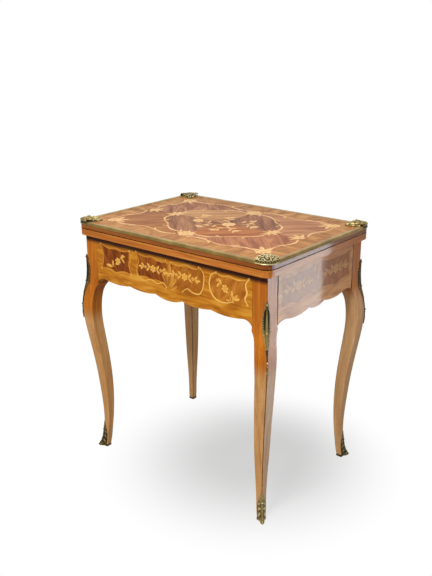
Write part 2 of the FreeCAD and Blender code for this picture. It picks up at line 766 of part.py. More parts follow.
def knee_mount():
    top = RIM - KNEE_MOUNT_DROP
    half = KNEE_MOUNT_WIDTH / 2
    tail = KNEE_MOUNT_TAIL / 2
    crest = top - KNEE_MOUNT_LENGTH * KNEE_MOUNT_CREST
    shoulder = top - KNEE_MOUNT_LENGTH * KNEE_MOUNT_SHOULDER
    waist = top - KNEE_MOUNT_LENGTH * KNEE_MOUNT_WAIST
    tip = top - KNEE_MOUNT_LENGTH
    outline = [
        ((0, top), (half * KNEE_MOUNT_CREST_FULL, crest), (half, shoulder)),
        ((half, shoulder), ((half + tail) * KNEE_MOUNT_HOLLOW, (shoulder + waist) / 2), (tail, waist)),
        ((tail, waist), (tail * KNEE_MOUNT_TAIL_FULL, (waist + tip) / 2), (0, tip)),
    ]
    return wrapped(outline, KNEE_MOUNT_THICK, 0)


def knee_nails():
    # Two pins along the diagonal through the back right knee mount.
    way = Vec(1, 1, 0)
    way.normalize()
    nails = []
    for share in KNEE_NAIL_SHARES:
        height = RIM - KNEE_MOUNT_DROP - share * KNEE_MOUNT_LENGTH
        skin = arris_swing(height) + KNEE_MOUNT_THICK * ROOT2 - ARRIS_RADIUS * (ROOT2 - 1)
        nails.append(nail(Vec(HALF_X, HALF_Y, height) + way * skin, way))
    return nails


def arris_swing(height):
    # Swing of the arris at a height, straight between the sections.
    stations = leg_stations(0) + shoulder_stations()
    for below, above in zip(stations, stations[1:]):
        if below[0] <= height <= above[0]:
            share = (height - below[0]) / (above[0] - below[0])
            return below[1] + share * (above[1] - below[1])
    return 0.0


def shoe():
    # Brass shoe of the back right foot: a cup with a toe and a pointed leaf up the arris.
    cup = leg_blank(0, SHOE_WALL).common(box((0, 0, 0), (TOP_WIDTH, TOP_DEPTH, SHOE_HEIGHT)))
    half = SHOE_LEAF_WIDTH / 2
    low = SHOE_HEIGHT / 2
    middle = (low + SHOE_LEAF_HEIGHT) / 2
    outline = [
        ((0, low), (half * SHOE_LEAF_BASE, low + half * SHOE_LEAF_RISE), (half, SHOE_HEIGHT)),
        ((half, SHOE_HEIGHT), (half * SHOE_LEAF_FULL, middle), (0, SHOE_LEAF_HEIGHT)),
    ]
    leaf = wrapped(outline, SHOE_LEAF_THICK, 0)
    across = Vec(1, -1, 0) * (TOE_WIDTH / 2 / ROOT2)
    outward = Vec(1, 1, 0) * (1 / ROOT2)
    root = Vec(HALF_X, HALF_Y, TOE_LIFT) - outward * (FOOT_IN + ARRIS_RADIUS)
    crest = Vec(HALF_X, HALF_Y, TOE_LIFT) + outward * (TOE_REACH - FOOT_IN - TOE_RADIUS)
    roll = Part.makeCylinder(TOE_RADIUS, TOE_WIDTH, crest - across + Vec(0, 0, TOE_RADIUS), across)
    corners = [root - across, root + across, crest + across, crest - across, root - across]
    tongue = Part.Face(Part.makePolygon(corners)).extrude(Vec(0, 0, 2 * TOE_RADIUS))
    whole = cup.fuse([leaf, tongue, roll])
    return whole.cut(leg_blank(SHOE_SOLE)).removeSplitter()


def shoe_nails():
    # One pin through each inner face of the back right shoe.
    centre_x = HALF_X - FOOT_IN / ROOT2 - FOOT_SIDE / 2
    centre_y = HALF_Y - FOOT_IN / ROOT2 - FOOT_SIDE / 2
    height = SHOE_HEIGHT * SHOE_NAIL_SHARE
    reach = FOOT_SIDE / 2 + SHOE_WALL
    return [
        nail(Vec(centre_x - reach, centre_y, height), Vec(-1, 0, 0), SHOE_NAIL_LENGTH),
        nail(Vec(centre_x, centre_y - reach, height), Vec(0, -1, 0), SHOE_NAIL_LENGTH),
    ]


def leg():
    # Finished leg of the back right corner.
    mortises = [back_tenon(TENON_FIT), side_tenon(TENON_FIT)]
    return leg_blank(SHOE_SOLE).cut(mortises + knee_nails() + shoe_nails())


def frame_nodes():
    nodes = {}
    wood = leg()
    knee = knee_mount().cut([leg_blank(SHOE_SOLE)] + knee_nails())
    foot = shoe().cut(shoe_nails())
    for corner in CORNERS:
        nodes["leg_" + corner] = in_corner(wood, corner)
        nodes["knee_mount_" + corner] = in_corner(knee, corner)
        nodes["shoe_" + corner] = in_corner(foot, corner)
    nodes["knee_pins"] = in_all_corners(knee_nails())
    nodes["shoe_pins"] = in_all_corners(shoe_nails())
    nodes["apron_back"] = long_apron()
    nodes["apron_front"] = long_apron().mirror(Vec(0, 0, 0), Vec(0, 1, 0))
    nodes["apron_right"] = side_apron(RIGHT_FRONT_GAP)
    nodes["apron_left"] = side_apron(SHOULDER_GAP).mirror(Vec(0, 0, 0), Vec(1, 0, 0))
    return nodes


def carcase_nodes():
    nodes = {}
    screw_holes = deck_screws(False)
    nodes["deck"] = deck_board().cut(screw_holes)
    nodes["well_divider"] = well_divider()
    nodes["well_floor"] = well_floor()
    nodes["well_baize"] = well_baize()
    nodes["floor_bearer_back"] = floor_bearer()
    nodes["floor_bearer_front"] = floor_bearer().mirror(Vec(0, 0, 0), Vec(0, 1, 0))
    cleat = long_cleat()
    nodes["deck_cleat_back"] = cleat.cut(screw_holes)
    nodes["deck_cleat_front"] = cleat.mirror(Vec(0, 0, 0), Vec(0, 1, 0)).cut(screw_holes)
    nodes["deck_cleat_right"] = side_cleat().cut(screw_holes)
    nodes["deck_screws"] = Part.makeCompound(deck_screws())
    bore = PIVOT_RADIUS + PIVOT_FIT
    nodes["pivot_bush"] = ring(bore + BUSH_WALL, bore, DECK_BOTTOM, RIM)
    nodes["stop_pin"] = upright(STOP_RADIUS, stop_x(), stop_y(), RIM - STOP_SEAT, RIM + STOP_RISE)
    return nodes


def lower_leaf_nodes():
    nodes = {}
    nodes["lower_leaf"] = lower_leaf()
    baize_bottom = LOWER_TOP - BAIZE_RECESS
    nodes["lower_baize"] = baize_box(baize_bottom, baize_bottom + BAIZE_THICK, BAIZE_FIT)
    nodes["pivot_bolt"] = pivot_bolt().cut(flange_screws(False))
    nodes["pivot_screws"] = Part.makeCompound(flange_screws())
    nodes["pivot_spacer"] = ring(SPACER_RADIUS, PIVOT_RADIUS, RIM + SPACER_FIT, LOWER_BOTTOM)
    washer_top = DECK_BOTTOM - WASHER_GAP
    nodes["pivot_washer"] = ring(WASHER_RADIUS, PIVOT_RADIUS, washer_top - WASHER_THICK, washer_top)
    nodes["pivot_nut"] = pivot_nut()
    for name, side in SIDES.items():
        nodes["hinge_flap_lower_" + name] = hinge_flap(side, 0, 0)
    nodes["hinge_pins"] = Part.makeCompound([hinge_pin(side) for side in SIDES.values()])
    nodes["hinge_screws_lower"] = Part.makeCompound(hinge_screws(-1) + hinge_screws(1))
    return nodes


def upper_leaf_nodes():
    nodes = {}
    nodes["upper_leaf"] = upper_leaf()
    baize_top = UPPER_BOTTOM + BAIZE_RECESS
    nodes["upper_baize"] = baize_box(baize_top - BAIZE_THICK, baize_top, BAIZE_FIT)
    for name, band in edge_bands().items():
        nodes["edge_band_" + name] = band
    for corner in CORNERS:
        nodes["corner_mount_" + corner] = corner_mount(corner)
    nodes["mount_pins_top"] = Part.makeCompound(top_nails())
    for name, side in SIDES.items():
        nodes["hinge_flap_upper_" + name] = above_seam(hinge_flap(side, 1, PIN_FIT))
    screws = hinge_screws(-1) + hinge_screws(1)
    nodes["hinge_screws_upper"] = Part.makeCompound([above_seam(screw) for screw in screws])
    return nodes


def main():
    os.makedirs("parts", exist_ok=True)
    for group in (frame_nodes, carcase_nodes, lower_leaf_nodes, upper_leaf_nodes):
        for name, shape in group().items():
            shape.exportStep("parts/" + name + ".step")
            print(name, "solids", len(shape.Solids), "valid", shape.isValid(), "mm3", round(shape.Volume, 1))


main()
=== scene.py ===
import itertools
import json
import math
import bpy
from mathutils import Matrix, Vector
from mathutils.bvhtree import BVHTree


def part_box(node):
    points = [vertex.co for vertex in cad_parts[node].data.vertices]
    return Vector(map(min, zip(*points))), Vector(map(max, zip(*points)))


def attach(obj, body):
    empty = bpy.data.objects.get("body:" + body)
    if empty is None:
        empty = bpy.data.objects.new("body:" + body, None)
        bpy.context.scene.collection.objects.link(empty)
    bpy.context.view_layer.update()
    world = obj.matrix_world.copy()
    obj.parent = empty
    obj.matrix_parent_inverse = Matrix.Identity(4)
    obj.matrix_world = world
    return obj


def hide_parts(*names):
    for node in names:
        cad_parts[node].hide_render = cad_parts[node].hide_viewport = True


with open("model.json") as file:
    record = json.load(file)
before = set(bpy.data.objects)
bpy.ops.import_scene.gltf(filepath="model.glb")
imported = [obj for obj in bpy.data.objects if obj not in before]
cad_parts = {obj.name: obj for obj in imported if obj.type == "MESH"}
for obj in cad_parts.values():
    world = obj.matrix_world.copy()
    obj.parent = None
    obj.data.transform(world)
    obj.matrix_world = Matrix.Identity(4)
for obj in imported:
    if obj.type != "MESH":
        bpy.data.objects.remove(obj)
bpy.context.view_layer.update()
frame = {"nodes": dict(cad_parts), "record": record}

nodes = frame["nodes"]
mm = 0.001

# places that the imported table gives, and the side of its square posts
topLow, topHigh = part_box("upper_leaf")
halfTopX, halfTopY, topLevel = topHigh
seamLevel = topLow[2]
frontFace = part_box("apron_front")[0][1]
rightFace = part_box("apron_right")[1][0]
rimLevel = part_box("apron_front")[1][2]
postSide = 44 * mm
upward = Vector((0, 0, 1))
corners = {"front_right": (1, 1), "front_left": (-1, 1), "back_right": (1, -1), "back_left": (-1, -1)}


def tint(red, green, blue):
    # a screen colour of 0 to 255 as the straight values that a shader takes
    straight = []
    for value in (red / 255, green / 255, blue / 255):
        straight.append(value / 12.92 if value <= 0.04045 else ((value + 0.055) / 1.055) ** 2.4)
    return (straight[0], straight[1], straight[2], 1.0)


def tints(*colours):
    return [tint(*colour) for colour in colours]


def grey(value):
    return (value, value, value, 1.0)


# small tools for shader trees

def startMaterial(name):
    material = bpy.data.materials.new(name)
    material.use_nodes = True
    return material


def feed(socket, value):
    if isinstance(value, bpy.types.NodeSocket):
        socket.id_data.links.new(value, socket)
    else:
        socket.default_value = value


def addNode(tree, kind, inputs, **settings):
    node = tree.nodes.new(kind)
    for key, value in settings.items():
        setattr(node, key, value)
    for key, value in inputs.items():
        feed(node.inputs[key], value)
    return node


def grow(kind, inputs, **settings):
    # a node in the tree that its inputs come from
    sockets = [value for value in inputs.values() if isinstance(value, bpy.types.NodeSocket)]
    return addNode(sockets[0].id_data, kind, inputs, **settings)


def sums(operation, first, second=0.0, third=0.0):
    return grow("ShaderNodeMath", {0: first, 1: second, 2: third}, operation=operation).outputs[0]


def within(value, limit):
    # 1 where a value is nearer to 0 than the limit
    return sums("LESS_THAN", sums("ABSOLUTE", value), limit)


def insetFrom(face, place):
    # how far a place lies inside the two faces that stand that far from the middle
    return sums("SUBTRACT", face, sums("ABSOLUTE", place))


def smoothly(value, start, end, low=0.0):
    # from low at the start to 1 at the end
    ends = {0: value, 1: start, 2: end, 3: low}
    return grow("ShaderNodeMapRange", ends, interpolation_type="SMOOTHSTEP").outputs[0]


def vectorLength(vector):
    return grow("ShaderNodeVectorMath", {0: vector}, operation="LENGTH").outputs["Value"]


def blendColours(share, first, second, way="MIX"):
    colours = {0: share, 6: first, 7: second}
    return grow("ShaderNodeMix", colours, data_type="RGBA", blend_type=way).outputs[2]


def ramp(value, places, colours):
    node = grow("ShaderNodeValToRGB", {0: value})
    elements = node.color_ramp.elements
    while len(elements) < len(places):
        elements.new(0.5)
    for element, place, colour in zip(elements, places, colours):
        element.position = place
        element.color = colour
    return node.outputs[0]


def objectPlace(material):
    return addNode(material.node_tree, "ShaderNodeTexCoord", {}).outputs["Object"]


def splitPlace(material, kind="Object"):
    # x, y and z of a place on the piece, or of the way that its surface faces
    vector = addNode(material.node_tree, "ShaderNodeTexCoord", {}).outputs[kind]
    return grow("ShaderNodeSeparateXYZ", {0: vector}).outputs


def ownValue(material, name):
    return addNode(material.node_tree, "ShaderNodeAttribute", {}, attribute_name=name).outputs["Fac"]


def setSurface(material, inputs):
    # sets or links the sockets of the shader
    shader = material.node_tree.nodes["Principled BSDF"]
    for key, value in inputs.items():
        feed(shader.inputs[key], value)
    return material


def bumpy(height, strength, depth):
    relief = {"Strength": strength, "Distance": depth, "Height": height}
    return grow("ShaderNodeBump", relief).outputs[0]


def grain(material, size, turn=(0, 0, 0), detail=4.0, warp=0.3):
    # noise drawn out along the wood; size is the length of one streak each way, in metres
    stretch = {"Vector": objectPlace(material), "Rotation": turn, "Scale": size}
    place = grow("ShaderNodeMapping", stretch, vector_type="TEXTURE").outputs[0]
    noise = {"Vector": place, "Scale": 1.0, "Detail": detail, "Distortion": warp}
    return grow("ShaderNodeTexNoise", noise).outputs[0]


# woods

woodLook = {"roughness": 0.5, "specular": 0.02, "coat": 0.15, "coatRoughness": 0.08, "bump": 0.12}

# layers of the figure: length and width of their streaks as shares of the grain, detail and warp
figureLayers = ((1.0, 7.0, 3.0, 0.8), (0.7, 1.0, 5.0, 0.3), (0.12, 0.35, 2.0, 0.3))
broadShare = 0.6
figurePlaces = (0.36, 0.5, 0.64)
poreShare = 0.6
poreDepth = 0.3 * mm
porePlaces = (0.56, 0.7)
poreColours = ((1, 1, 1, 1), (0.62, 0.55, 0.5, 1))


def varnish(material, colour, pores, look=woodLook, bare=None):
    # colour under a clear coat, with the pores as a shallow bump and no coat where bare is 1
    coat = look["coat"]
    if bare is not None:
        coat = sums("MULTIPLY_ADD", bare, -look["coat"], look["coat"])
    return setSurface(material, {
        "Base Color": colour, "Roughness": look["roughness"], "Specular IOR Level": look["specular"],
        "Coat Weight": coat, "Coat Roughness": look["coatRoughness"],
        "Normal": bumpy(pores, look["bump"], poreDepth),
    })


def woodFigure(material, size, axis=0, turn=(0, 0, 0)):
    # broad figure, fine streaks and open pores, all drawn out along the grain of that length and width
    layers = []
    for long, wide, detail, warp in figureLayers:
        streak = [size[1] * wide] * 3
        streak[axis] = size[0] * long
        layers.append(grain(material, streak, turn, detail, warp))
    broad, streaks, pores = layers
    value = sums("MULTIPLY_ADD", broad, broadShare, sums("MULTIPLY", streaks, 1 - broadShare))
    return value, streaks, pores


def woodColour(figure, tones):
    # three tones over a figure, darkened in the pores
    value, streaks, pores = figure
    colour = ramp(value, figurePlaces, tones)
    return blendColours(poreShare, colour, ramp(pores, porePlaces, poreColours), "MULTIPLY")


def twoWoods(share, first, second):
    # two veneers, each a figure and its tones, the first where the share is 0
    return blendColours(share, woodColour(*first), woodColour(*second))


# painted shadow of the top's overhang: dark down to one depth and undarkened below another
overhangShadeLook = {"dark": 10 * mm, "undarkened": 25 * mm, "tone": tint(104, 78, 58)}


def paintedOverhangShade(material, z, colour):
    # painted shade under the overhang: darkens the front and the back, not the sides
    undarkened = smoothly(z, rimLevel - overhangShadeLook["dark"], rimLevel - overhangShadeLook["undarkened"])
    frontal = sums("ABSOLUTE", splitPlace(material, "Normal")[1])
    undarkened = sums("MAXIMUM", undarkened, sums("SUBTRACT", 1.0, frontal))
    paintedShade = blendColours(1.0, colour, overhangShadeLook["tone"], "MULTIPLY")
    return blendColours(undarkened, paintedShade, colour)


# the legs fade between two heights, higher on the back ones, to shins paled by painted floor sheen and, at
# the back, painted light
legLook = {
    "grain": (0.30, 0.0025), "fadeHigh": 0.49, "fadeLow": 0.43, "backFade": 0.09,
    "post": tints((156, 82, 16), (178, 100, 22), (194, 118, 34)),
    # shin tones carry a painted reflection of the floor; the back ones are also painted light
    "shinPaintedSheen": tints((182, 126, 70), (198, 144, 86), (210, 160, 104)),
    "backShinPaintedFill": tints((202, 148, 94), (216, 164, 110), (226, 180, 128)),
    # a painted line of shade along the leg's arris
    "arris": tint(92, 56, 22), "arrisHalf": 1.3 * mm, "arrisTop": 0.45,
}


def legVeneer():
    # orange at the posts and tan down the shins as painted floor sheen, with a painted dark line of shade
    # along the arris under each knee mount
    look = legLook
    material = startMaterial("legWood")
    figure = woodFigure(material, look["grain"], 2)
    x, y, z = splitPlace(material)
    aside = sums("SUBTRACT", insetFrom(rightFace, x), insetFrom(-frontFace, y))
    below = sums("LESS_THAN", z, look["arrisTop"])
    # the strip of painted arris shade, below the knee mounts
    line = sums("MULTIPLY", within(aside, look["arrisHalf"]), below)
    atBack = sums("GREATER_THAN", y, 0.0)
    level = sums("MULTIPLY_ADD", atBack, -look["backFade"], z)
    faded = smoothly(level, look["fadeHigh"], look["fadeLow"])
    shinPaintedSheen = twoWoods(atBack, (figure, look["shinPaintedSheen"]), (figure, look["backShinPaintedFill"]))
    colour = blendColours(faded, woodColour(figure, look["post"]), shinPaintedSheen)
    # painted shade under the overhang at the top of the posts, and the painted arris line
    colour = blendColours(line, paintedOverhangShade(material, z, colour), look["arris"])
    return varnish(material, colour, figure[1], bare=line)


# the joints with the posts have opened to a dark line as wide as the gap
apronLook = {
    "grain": (0.10, 0.003), "longGap": 0.5 * mm, "shortGap": 4 * mm, "joint": tint(40, 20, 10),
    "long": tints((148, 84, 14), (186, 115, 22), (216, 154, 54)),
    # the short aprons are lighter than the long ones: painted light on the sides
    "shortPaintedLight": tints((170, 102, 48), (206, 136, 72), (226, 166, 102)),
}


def apronVeneer(name, axis, jointAt, tones):
    material = startMaterial(name)
    figure = woodFigure(material, apronLook["grain"], axis)
    place = splitPlace(material)
    joint = sums("GREATER_THAN", sums("ABSOLUTE", place[axis]), jointAt)
    # painted shade under the overhang at the top of the apron, and the dark joints
    wood = paintedOverhangShade(material, place[2], woodColour(figure, tones))
    return varnish(material, blendColours(joint, wood, apronLook["joint"]), figure[1], bare=joint)


leafLook = {
    "grain": (0.3, 0.003), "pores": (0.02, 0.02, 0.002), "flat": 0.9,
    "seam": tint(40, 20, 10), "seamHalf": 1.4 * mm,
    "upper": tints((94, 42, 12), (124, 64, 18), (152, 88, 36)),
    "lower": tints((146, 78, 24), (184, 109, 40), (208, 137, 66)),
}


def edgeVeneer(material, tones):
    # long grain that turns with the four edges of a leaf; its inner face has the lower leaf's tones, and a
    # dark seam runs round the upright faces where the leaves meet
    look = leafLook
    x, y, z = splitPlace(material)
    along = woodFigure(material, look["grain"], 0)
    across = woodFigure(material, look["grain"], 1)
    atEnd = sums("LESS_THAN", insetFrom(halfTopX, x), insetFrom(halfTopY, y))
    edge = twoWoods(atEnd, (along, tones), (across, tones))
    inner = twoWoods(atEnd, (along, look["lower"]), (across, look["lower"]))
    upright = within(splitPlace(material, "Normal")[2], look["flat"])
    nearSeam = within(sums("SUBTRACT", z, seamLevel), look["seamHalf"])
    seam = sums("MULTIPLY", nearSeam, upright)
    wood = blendColours(upright, inner, edge)
    return blendColours(seam, wood, look["seam"]), seam


def leafEdgeWood():
    material = startMaterial("leafEdgeVeneer")
    colour, seam = edgeVeneer(material, leafLook["lower"])
    return varnish(material, colour, grain(material, leafLook["pores"]), bare=seam)


# quarters of the top run front left, front right, back left, back right
topLook = {
    "band": 0.064, "ovalX": 0.178, "ovalY": 0.148, "quarter": math.radians(45), "skin": 0.4 * mm,
    "grain": (0.14, 0.0035), "bandGrain": (0.07, 0.004),
    "banding": tints((138, 88, 45), (175, 119, 66), (201, 147, 90)),
    "field": (
        tints((128, 74, 42), (158, 100, 54), (180, 122, 68)),
        tints((131, 76, 50), (167, 105, 69), (193, 131, 88)),
        tints((116, 66, 48), (158, 102, 68), (188, 134, 92)),
        tints((139, 86, 58), (173, 117, 77), (195, 141, 99)),
    ),
    "oval": (
        tints((120, 72, 46), (152, 100, 66), (178, 126, 86)),
        tints((132, 70, 34), (166, 98, 50), (190, 124, 70)),
        tints((156, 104, 62), (184, 132, 84), (204, 156, 108)),
        tints((108, 64, 42), (142, 92, 62), (168, 116, 80)),
    ),
}


def quartered(rightHalf, backHalf, figures, tones):
    # four veneers with their grain running to the middle
    rising, falling = figures
    front = twoWoods(rightHalf, (rising, tones[0]), (falling, tones[1]))
    back = twoWoods(rightHalf, (falling, tones[2]), (rising, tones[3]))
    return blendColours(backHalf, front, back)


def topWood():
    # cross banding round a quartered field with a quartered oval in its middle
    look = topLook
    material = startMaterial("topVeneer")
    x, y, z = splitPlace(material)
    insetX = insetFrom(halfTopX, x)
    insetY = insetFrom(halfTopY, y)
    inBand = sums("LESS_THAN", sums("MINIMUM", insetX, insetY), look["band"])
    rightHalf = sums("GREATER_THAN", x, 0.0)
    backHalf = sums("GREATER_THAN", y, 0.0)
    flattened = {0: objectPlace(material), 1: (1 / look["ovalX"], 1 / look["ovalY"], 0)}
    fromMiddle = grow("ShaderNodeVectorMath", flattened, operation="MULTIPLY").outputs[0]
    inOval = sums("LESS_THAN", vectorLength(fromMiddle), 1.0)
    rising = woodFigure(material, look["grain"], 0, (0, 0, look["quarter"]))
    falling = woodFigure(material, look["grain"], 0, (0, 0, -look["quarter"]))
    field = quartered(rightHalf, backHalf, (rising, falling), look["field"])
    oval = quartered(rightHalf, backHalf, (falling, rising), look["oval"])
    bandAlong = (woodFigure(material, look["bandGrain"], 0), look["banding"])
    bandAcross = (woodFigure(material, look["bandGrain"], 1), look["banding"])
    band = twoWoods(sums("LESS_THAN", insetX, insetY), bandAcross, bandAlong)
    face = blendColours(inBand, blendColours(inOval, field, oval), band)
    onTop = sums("GREATER_THAN", z, topLevel - look["skin"])
    edge, seam = edgeVeneer(material, leafLook["upper"])
    return varnish(material, blendColours(onTop, edge, face), rising[1], bare=seam)


# tones of the inlays run from scorched brown at tone 0 to boxwood at tone 1
inlayLook = {
    "places": (0.0, 0.3, 0.55, 0.8, 1.0), "grain": 4 * mm, "mottle": 0.16,
    "front": tints((104, 58, 18), (182, 114, 32), (212, 150, 58), (232, 180, 88), (242, 206, 128)),
    "top": tints((124, 76, 42), (192, 136, 78), (218, 168, 108), (236, 196, 138), (244, 216, 166)),
    # the sides' inlays are a duller copy of the front's, lightened as painted light on the shaded sides
    "side": tints((110, 60, 26), (170, 108, 52), (196, 136, 74), (216, 164, 100), (230, 188, 128)),
}


def inlayWood(name, tones):
    material = startMaterial(name)
    fine = grain(material, [inlayLook["grain"]] * 3, detail=3.0)
    mottle = sums("MULTIPLY_ADD", fine, inlayLook["mottle"], -inlayLook["mottle"] / 2)
    value = sums("ADD", ownValue(material, "tone"), mottle)
    return varnish(material, ramp(value, inlayLook["places"], tones), fine)


# brown grounds of the panels, redder at tone 0 and lighter at tone 1
reserveLook = {
    "grain": (0.06, 0.003), "falling": (0, math.radians(70), math.radians(20)),
    "rising": (0, math.radians(-60), math.radians(-20)),
    "dark": tints((78, 28, 4), (122, 54, 8), (160, 88, 18)),
    "light": tints((148, 80, 16), (182, 110, 28), (206, 138, 50)),
}


def reserveWood():
    look = reserveLook
    material = startMaterial("reserveVeneer")
    falling = woodFigure(material, look["grain"], 0, look["falling"])
    rising = woodFigure(material, look["grain"], 0, look["rising"])
    colour = twoWoods(ownValue(material, "tone"), (falling, look["dark"]), (rising, look["light"]))
    return varnish(material, colour, falling[1])


carcaseLook = {"roughness": 0.7, "specular": 0.3, "coat": 0.0, "coatRoughness": 0.3, "bump": 0.4,
               "grain": (0.25, 0.005), "tones": tints((150, 112, 70), (178, 138, 92), (198, 160, 112))}


def carcaseTimber():
    material = startMaterial("carcaseWood")
    figure = woodFigure(material, carcaseLook["grain"], 1)
    return varnish(material, woodColour(figure, carcaseLook["tones"]), figure[1], carcaseLook)


# metals and cloth

stainPlaces = (0.3, 0.5, 0.7)

# the brass darkens between two places on the line from the front right corner to the back left one
castLook = {"farDarkening": 0.22, "undarkened": 0.5, "dull": 0.2, "stain": 6 * mm, "mottle": 0.5, "metallic": 0.75,
            "roughness": 0.55, "polish": 0.25, "bump": 0.3, "bumpDepth": 0.5 * mm,
            "places": (0.06, 0.36, 0.64, 0.92),
            "tones": tints((36, 29, 12), (110, 92, 46), (170, 150, 94), (236, 222, 172))}


def castBrass():
    # worn bright on the ridges, dark in the hollows, and darker away from the front right corner
    look = castLook
    material = startMaterial("castBrass")
    stain = grain(material, [look["stain"]] * 3)
    place = splitPlace(material)
    along = sums("SUBTRACT", place[0], place[1])
    farDarkening = {0: along, 1: look["undarkened"], 2: look["dull"], 4: look["farDarkening"]}
    dull = grow("ShaderNodeMapRange", farDarkening).outputs[0]
    mottle = sums("MULTIPLY_ADD", stain, look["mottle"], -look["mottle"] / 2)
    value = sums("ADD", ownValue(material, "worn"), mottle)
    value = sums("SUBTRACT", value, dull)
    return setSurface(material, {
        "Base Color": ramp(value, look["places"], look["tones"]), "Metallic": look["metallic"],
        "Roughness": sums("MULTIPLY_ADD", value, -look["polish"], look["roughness"]),
        "Normal": bumpy(stain, look["bump"], look["bumpDepth"]),
    })


bandMetal = {"stain": 50 * mm, "metallic": 0.8, "roughness": 0.27, "dullness": 0.3,
             "pale": tints((146, 116, 64), (172, 144, 90), (194, 168, 116)),
             "dark": tints((110, 86, 40), (134, 108, 54), (156, 130, 72))}


def edgeBrass():
    # rubbed pale on top of the moulding and left dark down its side
    material = startMaterial("bandBrass")
    stain = grain(material, [bandMetal["stain"]] * 3, detail=5.0)
    pale = ramp(stain, stainPlaces, bandMetal["pale"])
    dark = ramp(stain, stainPlaces, bandMetal["dark"])
    return setSurface(material, {
        "Base Color": blendColours(ownValue(material, "worn"), dark, pale),
        "Metallic": bandMetal["metallic"],
        "Roughness": sums("MULTIPLY_ADD", stain, bandMetal["dullness"], bandMetal["roughness"]),
    })


plainLook = {
    "metallic": 0.9, "dullness": 0.3, "bump": 0.15, "bumpDepth": 0.3 * mm,
    "hingeBrass": {"stain": 10 * mm, "roughness": 0.38,
                   "tones": tints((140, 108, 52), (176, 142, 80), (200, 170, 108))},
    "dullSteel": {"stain": 8 * mm, "roughness": 0.45,
                  "tones": tints((92, 90, 86), (122, 120, 116), (150, 148, 144))},
}


def plainMetal(name):
    look = plainLook[name]
    dullness = plainLook["dullness"]
    material = startMaterial(name)
    stain = grain(material, [look["stain"]] * 3, detail=5.0)
    return setSurface(material, {
        "Base Color": ramp(stain, stainPlaces, look["tones"]), "Metallic": plainLook["metallic"],
        "Roughness": sums("MULTIPLY_ADD", stain, dullness, look["roughness"] - dullness / 2),
        "Normal": bumpy(stain, plainLook["bump"], plainLook["bumpDepth"]),
    })


baizeLook = {"nap": 1.2 * mm, "patch": 120 * mm, "napShare": 0.6, "roughness": 0.95, "sheen": 0.4,
             "sheenRoughness": 0.5, "bump": 0.6, "bumpDepth": 0.4 * mm,
             "tones": tints((28, 66, 40), (40, 88, 54), (58, 108, 70))}


def greenBaize():
    look = baizeLook
    material = startMaterial("greenBaize")
    nap = grain(material, [look["nap"]] * 3)
    patch = grain(material, [look["patch"]] * 3, detail=2.0)
    value = sums("MULTIPLY_ADD", nap, look["napShare"], sums("MULTIPLY", patch, 1 - look["napShare"]))
    return setSurface(material, {
        "Base Color": ramp(value, stainPlaces, look["tones"]), "Roughness": look["roughness"],
        "Sheen Weight": look["sheen"], "Sheen Roughness": look["sheenRoughness"],
        "Normal": bumpy(nap, look["bump"], look["bumpDepth"]),
    })


longJoint = rightFace - postSide - apronLook["longGap"]
shortJoint = -frontFace - postSide - apronLook["shortGap"]
apronLong = apronVeneer("apronVeneerLong", 0, longJoint, apronLook["long"])
# the side aprons' veneer is a lighter copy of the long ones', painted light
apronShortPaintedLight = apronVeneer("apronVeneerShortPaintedLight", 1, shortJoint, apronLook["shortPaintedLight"])
inlayVeneer = inlayWood("inlayVeneer", inlayLook["front"])
topInlayVeneer = inlayWood("topInlayVeneer", inlayLook["top"])
sideInlayPaintedLight = inlayWood("sideInlayPaintedLight", inlayLook["side"])
reserveVeneer = reserveWood()
castMetal = castBrass()
bandBrass = edgeBrass()
baizeGreen = greenBaize()
nodeMaterials = {"apron_front": apronLong, "apron_back": apronLong, "apron_left": apronShortPaintedLight,
                 "apron_right": apronShortPaintedLight, "upper_leaf": topWood(), "lower_leaf": leafEdgeWood()}
slotMaterials = {"leg_wood": legVeneer(), "carcase_wood": carcaseTimber(), "cast_brass": bandBrass,
                 "hinge_brass": plainMetal("hingeBrass"), "steel": plainMetal("dullSteel"),
                 "baize": baizeGreen}
for part in frame["record"]["subparts"]:
    materials = nodes[part["node"]].data.materials
    materials.clear()
    materials.append(nodeMaterials.get(part["node"]) or slotMaterials[part["material_slot"]])
print("woods and metals laid on", len(nodes), "pieces")


# modelling tools

def clearSelection():
    bpy.ops.object.select_all(action="DESELECT")


def choose(piece):
    clearSelection()
    piece.select_set(True)
    bpy.context.view_layer.objects.active = piece


def editAll(piece):
    # edit mode with the whole piece selected
    choose(piece)
    bpy.ops.object.mode_set(mode="EDIT")
    bpy.ops.mesh.select_all(action="SELECT")


def endEdit():
    bpy.ops.object.mode_set(mode="OBJECT")


def applyModifier(piece, kind, **settings):
    choose(piece)
    modifier = piece.modifiers.new(kind.title(), kind)
    for key, value in settings.items():
        setattr(modifier, key, value)
    bpy.ops.object.modifier_apply(modifier=modifier.name)


def joined(pieces, name):
    choose(pieces[0])
    for piece in pieces:
        piece.select_set(True)
    bpy.ops.object.join()
    pieces[0].name = name
    return pieces[0]


def addValues(piece, name, values):
    layer = piece.data.attributes.new(name, "FLOAT", "POINT")
    layer.data.foreach_set("value", values)


def copyOf(master, matrix):
    piece = master.copy()
    piece.data = master.data.copy()
    bpy.context.scene.collection.objects.link(piece)
    piece.data.transform(matrix)
    return piece


def discard(*pieces):
    for piece in pieces:
        bpy.data.objects.remove(piece)


def faceUp(piece):
    # turns a flat piece that lies face down
    piece.data.update()
    if piece.data.polygons[0].normal.z < 0:
        piece.data.flip_normals()


def tidyMesh(piece, fill=False):
    # merges the seams, closes what is open and turns the faces outwards
    editAll(piece)
    bpy.ops.mesh.remove_doubles(threshold=0.005 * mm)
    if fill:
        bpy.ops.mesh.fill_holes(sides=0)
    bpy.ops.mesh.select_all(action="SELECT")
    bpy.ops.mesh.normals_make_consistent(inside=False)
    endEdit()


